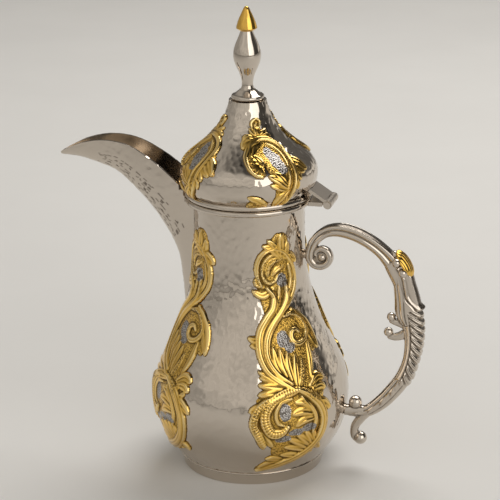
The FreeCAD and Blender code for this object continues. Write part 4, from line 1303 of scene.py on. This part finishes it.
def grip_shape(travel, deep, wide, depth):
    along = travel * grip_run[-1] - LEAF_START
    leaf = rise(-1.5, 1.0, along) * (1 - rise(LEAF_LENGTH - 3, LEAF_LENGTH + 2, along))
    stem = rise(LEAF_LENGTH - 3, LEAF_LENGTH + 3, along)
    phase = (along - 0.95 * depth * (deep - SPINE)) / LEAFLET
    ridge = np.abs(np.sin(math.pi * phase)) ** 0.55
    veins = np.cos(6 * math.pi * phase) * ridge
    outside = rise(SPINE - 0.02, SPINE + 0.14, deep)
    swell = leaf * outside * (1.6 * ridge - 0.8 + 0.32 * veins)
    scallop = leaf * rise(0.45, 0.95, deep) * (1.9 * ridge - 0.9)
    edge = leaf * (0.5 * hump(deep, SPINE - 0.11, 0.07) - 0.9 * hump(deep, SPINE, 0.06))
    inner = -0.45 * leaf * hump(deep, -0.66, 0.1)
    grooves = -0.55 * stem * (hump(deep, 0.45, 0.14) + hump(deep, -0.42, 0.14))
    twist = np.cos(2 * math.pi * (along - 5.0 * deep) / 10.5)
    buds = 0.75 * stem * np.clip(twist, 0, 1) ** 0.7 * hump(deep, 0.0, 0.3)
    push = swell + edge + inner + grooves + buds
    return depth * deep + scallop + 0.35 * push * deep, wide * (1 + push / 5.2)


def sheath_shape(travel, deep, wide, depth):
    along = travel * sheath_run[-1]
    over = 1 - rise(LIP, LIP + 2.6, along)
    hollowed = rise(0.0, 0.3, 1 - np.abs(wide) / 0.84) * rise(0.3, 0.55, deep)
    channel = -0.18 * depth * over * rise(3.0, 8.0, along) * hollowed
    lip = 2.3 * hump(along, LIP - 0.6, 1.7) * rise(0.5, 0.95, deep)
    tuck = -3.2 * (1 - over) * rise(-0.2, 0.5, deep)
    bend = 0.06 + 0.62 * rise(LIP - 13.0, LIP + 1.0, along) ** 2
    rib = over * (0.8 * hump(deep, bend, 0.10) - 0.7 * hump(deep, bend - 0.2, 0.10))
    lines = 0.26 * np.cos(19 * (deep + 0.1)) * (1 - rise(-0.3, -0.1, deep))
    push = rib + lines - 1.6 * (1 - over) * rise(-0.1, 0.3, deep)
    return depth * deep + channel + lip + tuck, wide * (1 + push / 5.6)


def grip_width(travel):
    return 5.1 - 1.6 * rise(0.55, 0.95, travel)


def sheath_width(travel):
    return 5.2 + 0.7 * rise(0.1, 0.7, travel)


print("leaf", round(LEAF_LENGTH, 1), "mm, about", round(LEAF_LENGTH / LEAFLET), "leaflets")

# %% Tendrils, beads and the casting
BEADS = ((10.4, -19.6, 4.5), (7.0, 6.1, 4.5), (30.9, 69.3, 3.0), (29.1, 58.5, 3.2))
STEMS = (
    ("upper_tendril", ((42.0, 64.0, 160), (36.5, 65.4, 168), (32.0, 66.4, 165), (29.6, 67.6, 140)), 3.4, 1.7),
    ("lower_tendril", ((43.5, 61.0, 225), (38.6, 57.2, 208), (33.0, 55.3, 186), (28.2, 56.0, 160)), 3.8, 1.9),
    ("tail", ((17.0, 2.0, -140), (10.5, -5.5, -125), (6.6, -12.5, -100), (7.4, -19.5, -55), (10.6, -21.4, 0)),
     3.5, 2.6),
    ("belly_pad", ((14.0, 0.6, 180), (7.0, 0.4, 180), (-1.2, 0.0, 180)), 3.4, 3.8),
)


def stem_to(name, points, start, end):
    def thick(travel):
        return start + (end - start) * travel

    def stem_shape(travel, deep, wide, depth):
        return thick(travel) * deep, wide

    rows = placed([(*point, 1.0) for point in points])
    return swept(name, rows, thick, stem_shape, around=28, length=60)


grip_parts = [swept("grip_bar", grip_rows, grip_width, grip_shape, around=132, length=640),
              swept("sheath", sheath_rows, sheath_width, sheath_shape, around=132, length=220)]
grip_parts += [ball("bead", (belly_x + out, 0, BELLY_JOINT + up), radius) for out, up, radius in BEADS]
grip_parts += [stem_to(*stem) for stem in STEMS]
grip = cast("handle_grip_cast", grip_parts, grain=0.325, polish=1)
paint_hollow_shade(grip, sheath_rows, first=0.12, last=0.74, reach=3.7)
hang(grip, "pot", cast_silver, "handle_grip")

# %% [markdown]
# ## The rosette
# A gilt button hides the joint of arm and grip, with six silver beads round its foot. The button is a low dome
# with flutes that run the way of the handle: a grid is rolled up from the rim to the middle. The beads are joined
# into one ring. Both lean outwards with the handle.

# %% Beads and button
LEAN = math.radians(33.0)
AXIS = np.array((math.cos(LEAN), 0.0, math.sin(LEAN)))
ALONG = np.array((-math.sin(LEAN), 0.0, math.cos(LEAN)))
SIDEWAYS = np.array((0.0, 1.0, 0.0))
SEAT = np.array((neck_x + 61.8, 0.0, 144.8)) + 4.6 * AXIS - 1.0 * ALONG
HALF_ACROSS, HALF_ALONG, FLUTE = 8.6, 10.0, 2.9
UNDERSIDE = 0.4
BEAD_COUNT, BEAD_RADIUS, BEAD_RING = 6, 3.0, 7.9


def button(count, columns):
    turn = np.linspace(0, 2 * math.pi, columns)
    points = np.empty((count, columns, 3))
    for row, share in enumerate(np.linspace(0, 1, count)):
        top_side = share >= UNDERSIDE
        reach = max(0.0, (1 - share) / (1 - UNDERSIDE)) if top_side else min(1.0, 3.0 * share)
        across, along = HALF_ACROSS * reach * np.cos(turn), HALF_ALONG * reach * np.sin(turn)
        flute = np.abs(np.cos(math.pi * across / FLUTE)) ** 0.6
        lift = 1.0 + (0.9 + 2.3 * (1 - reach ** 2.4) + 0.75 * flute * (1 - reach ** 8)) * top_side
        points[row] = (SEAT + np.outer(across, SIDEWAYS) + np.outer(along * (0.96 + 0.04 * flute), ALONG)
                       + np.outer(lift, AXIS))
    return points


boss = woven("rosette_button", across=240, along=96, place=button)
weld(boss, gap=0.01)
smooth(boss, angle=50)
hang(boss, "pot", plain_gilt, "rosette_boss")
beads = []
for index in range(BEAD_COUNT):
    turn = 2 * math.pi * (index + 0.5) / BEAD_COUNT
    ring = math.cos(turn) * SIDEWAYS + math.sin(turn) * ALONG
    beads.append(ball("rosette_bead", SEAT - 1.2 * AXIS + BEAD_RING * ring, BEAD_RADIUS))
petals = joined("rosette_beads", beads)
smooth(petals)
paint(petals, "hollow", np.zeros(len(petals.data.vertices)))
hang(petals, "pot", cast_silver, "rosette_petals")

# %% [markdown]
# ## Solids that stay as they are
# Screws, stud, nut, washer, strainer, base plate and hinge are small or out of sight, and their solids are
# already right. They only need a finish of their own.

# %% Finish the small solids
finishes = {"base_plate": polished_silver, "hinge_pin": polished_silver,
            "hinge_pot_leaf": satin_silver, "hinge_lid_leaf": satin_silver,
            "handle_screw_upper": steel, "handle_screw_lower": steel, "strainer": steel,
            "finial_stud": steel, "finial_washer": steel, "finial_nut": steel}
for name, finish in finishes.items():
    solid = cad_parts[name]
    solid.data.materials.clear()
    solid.data.materials.append(finish)
print("kept solids", len(finishes))
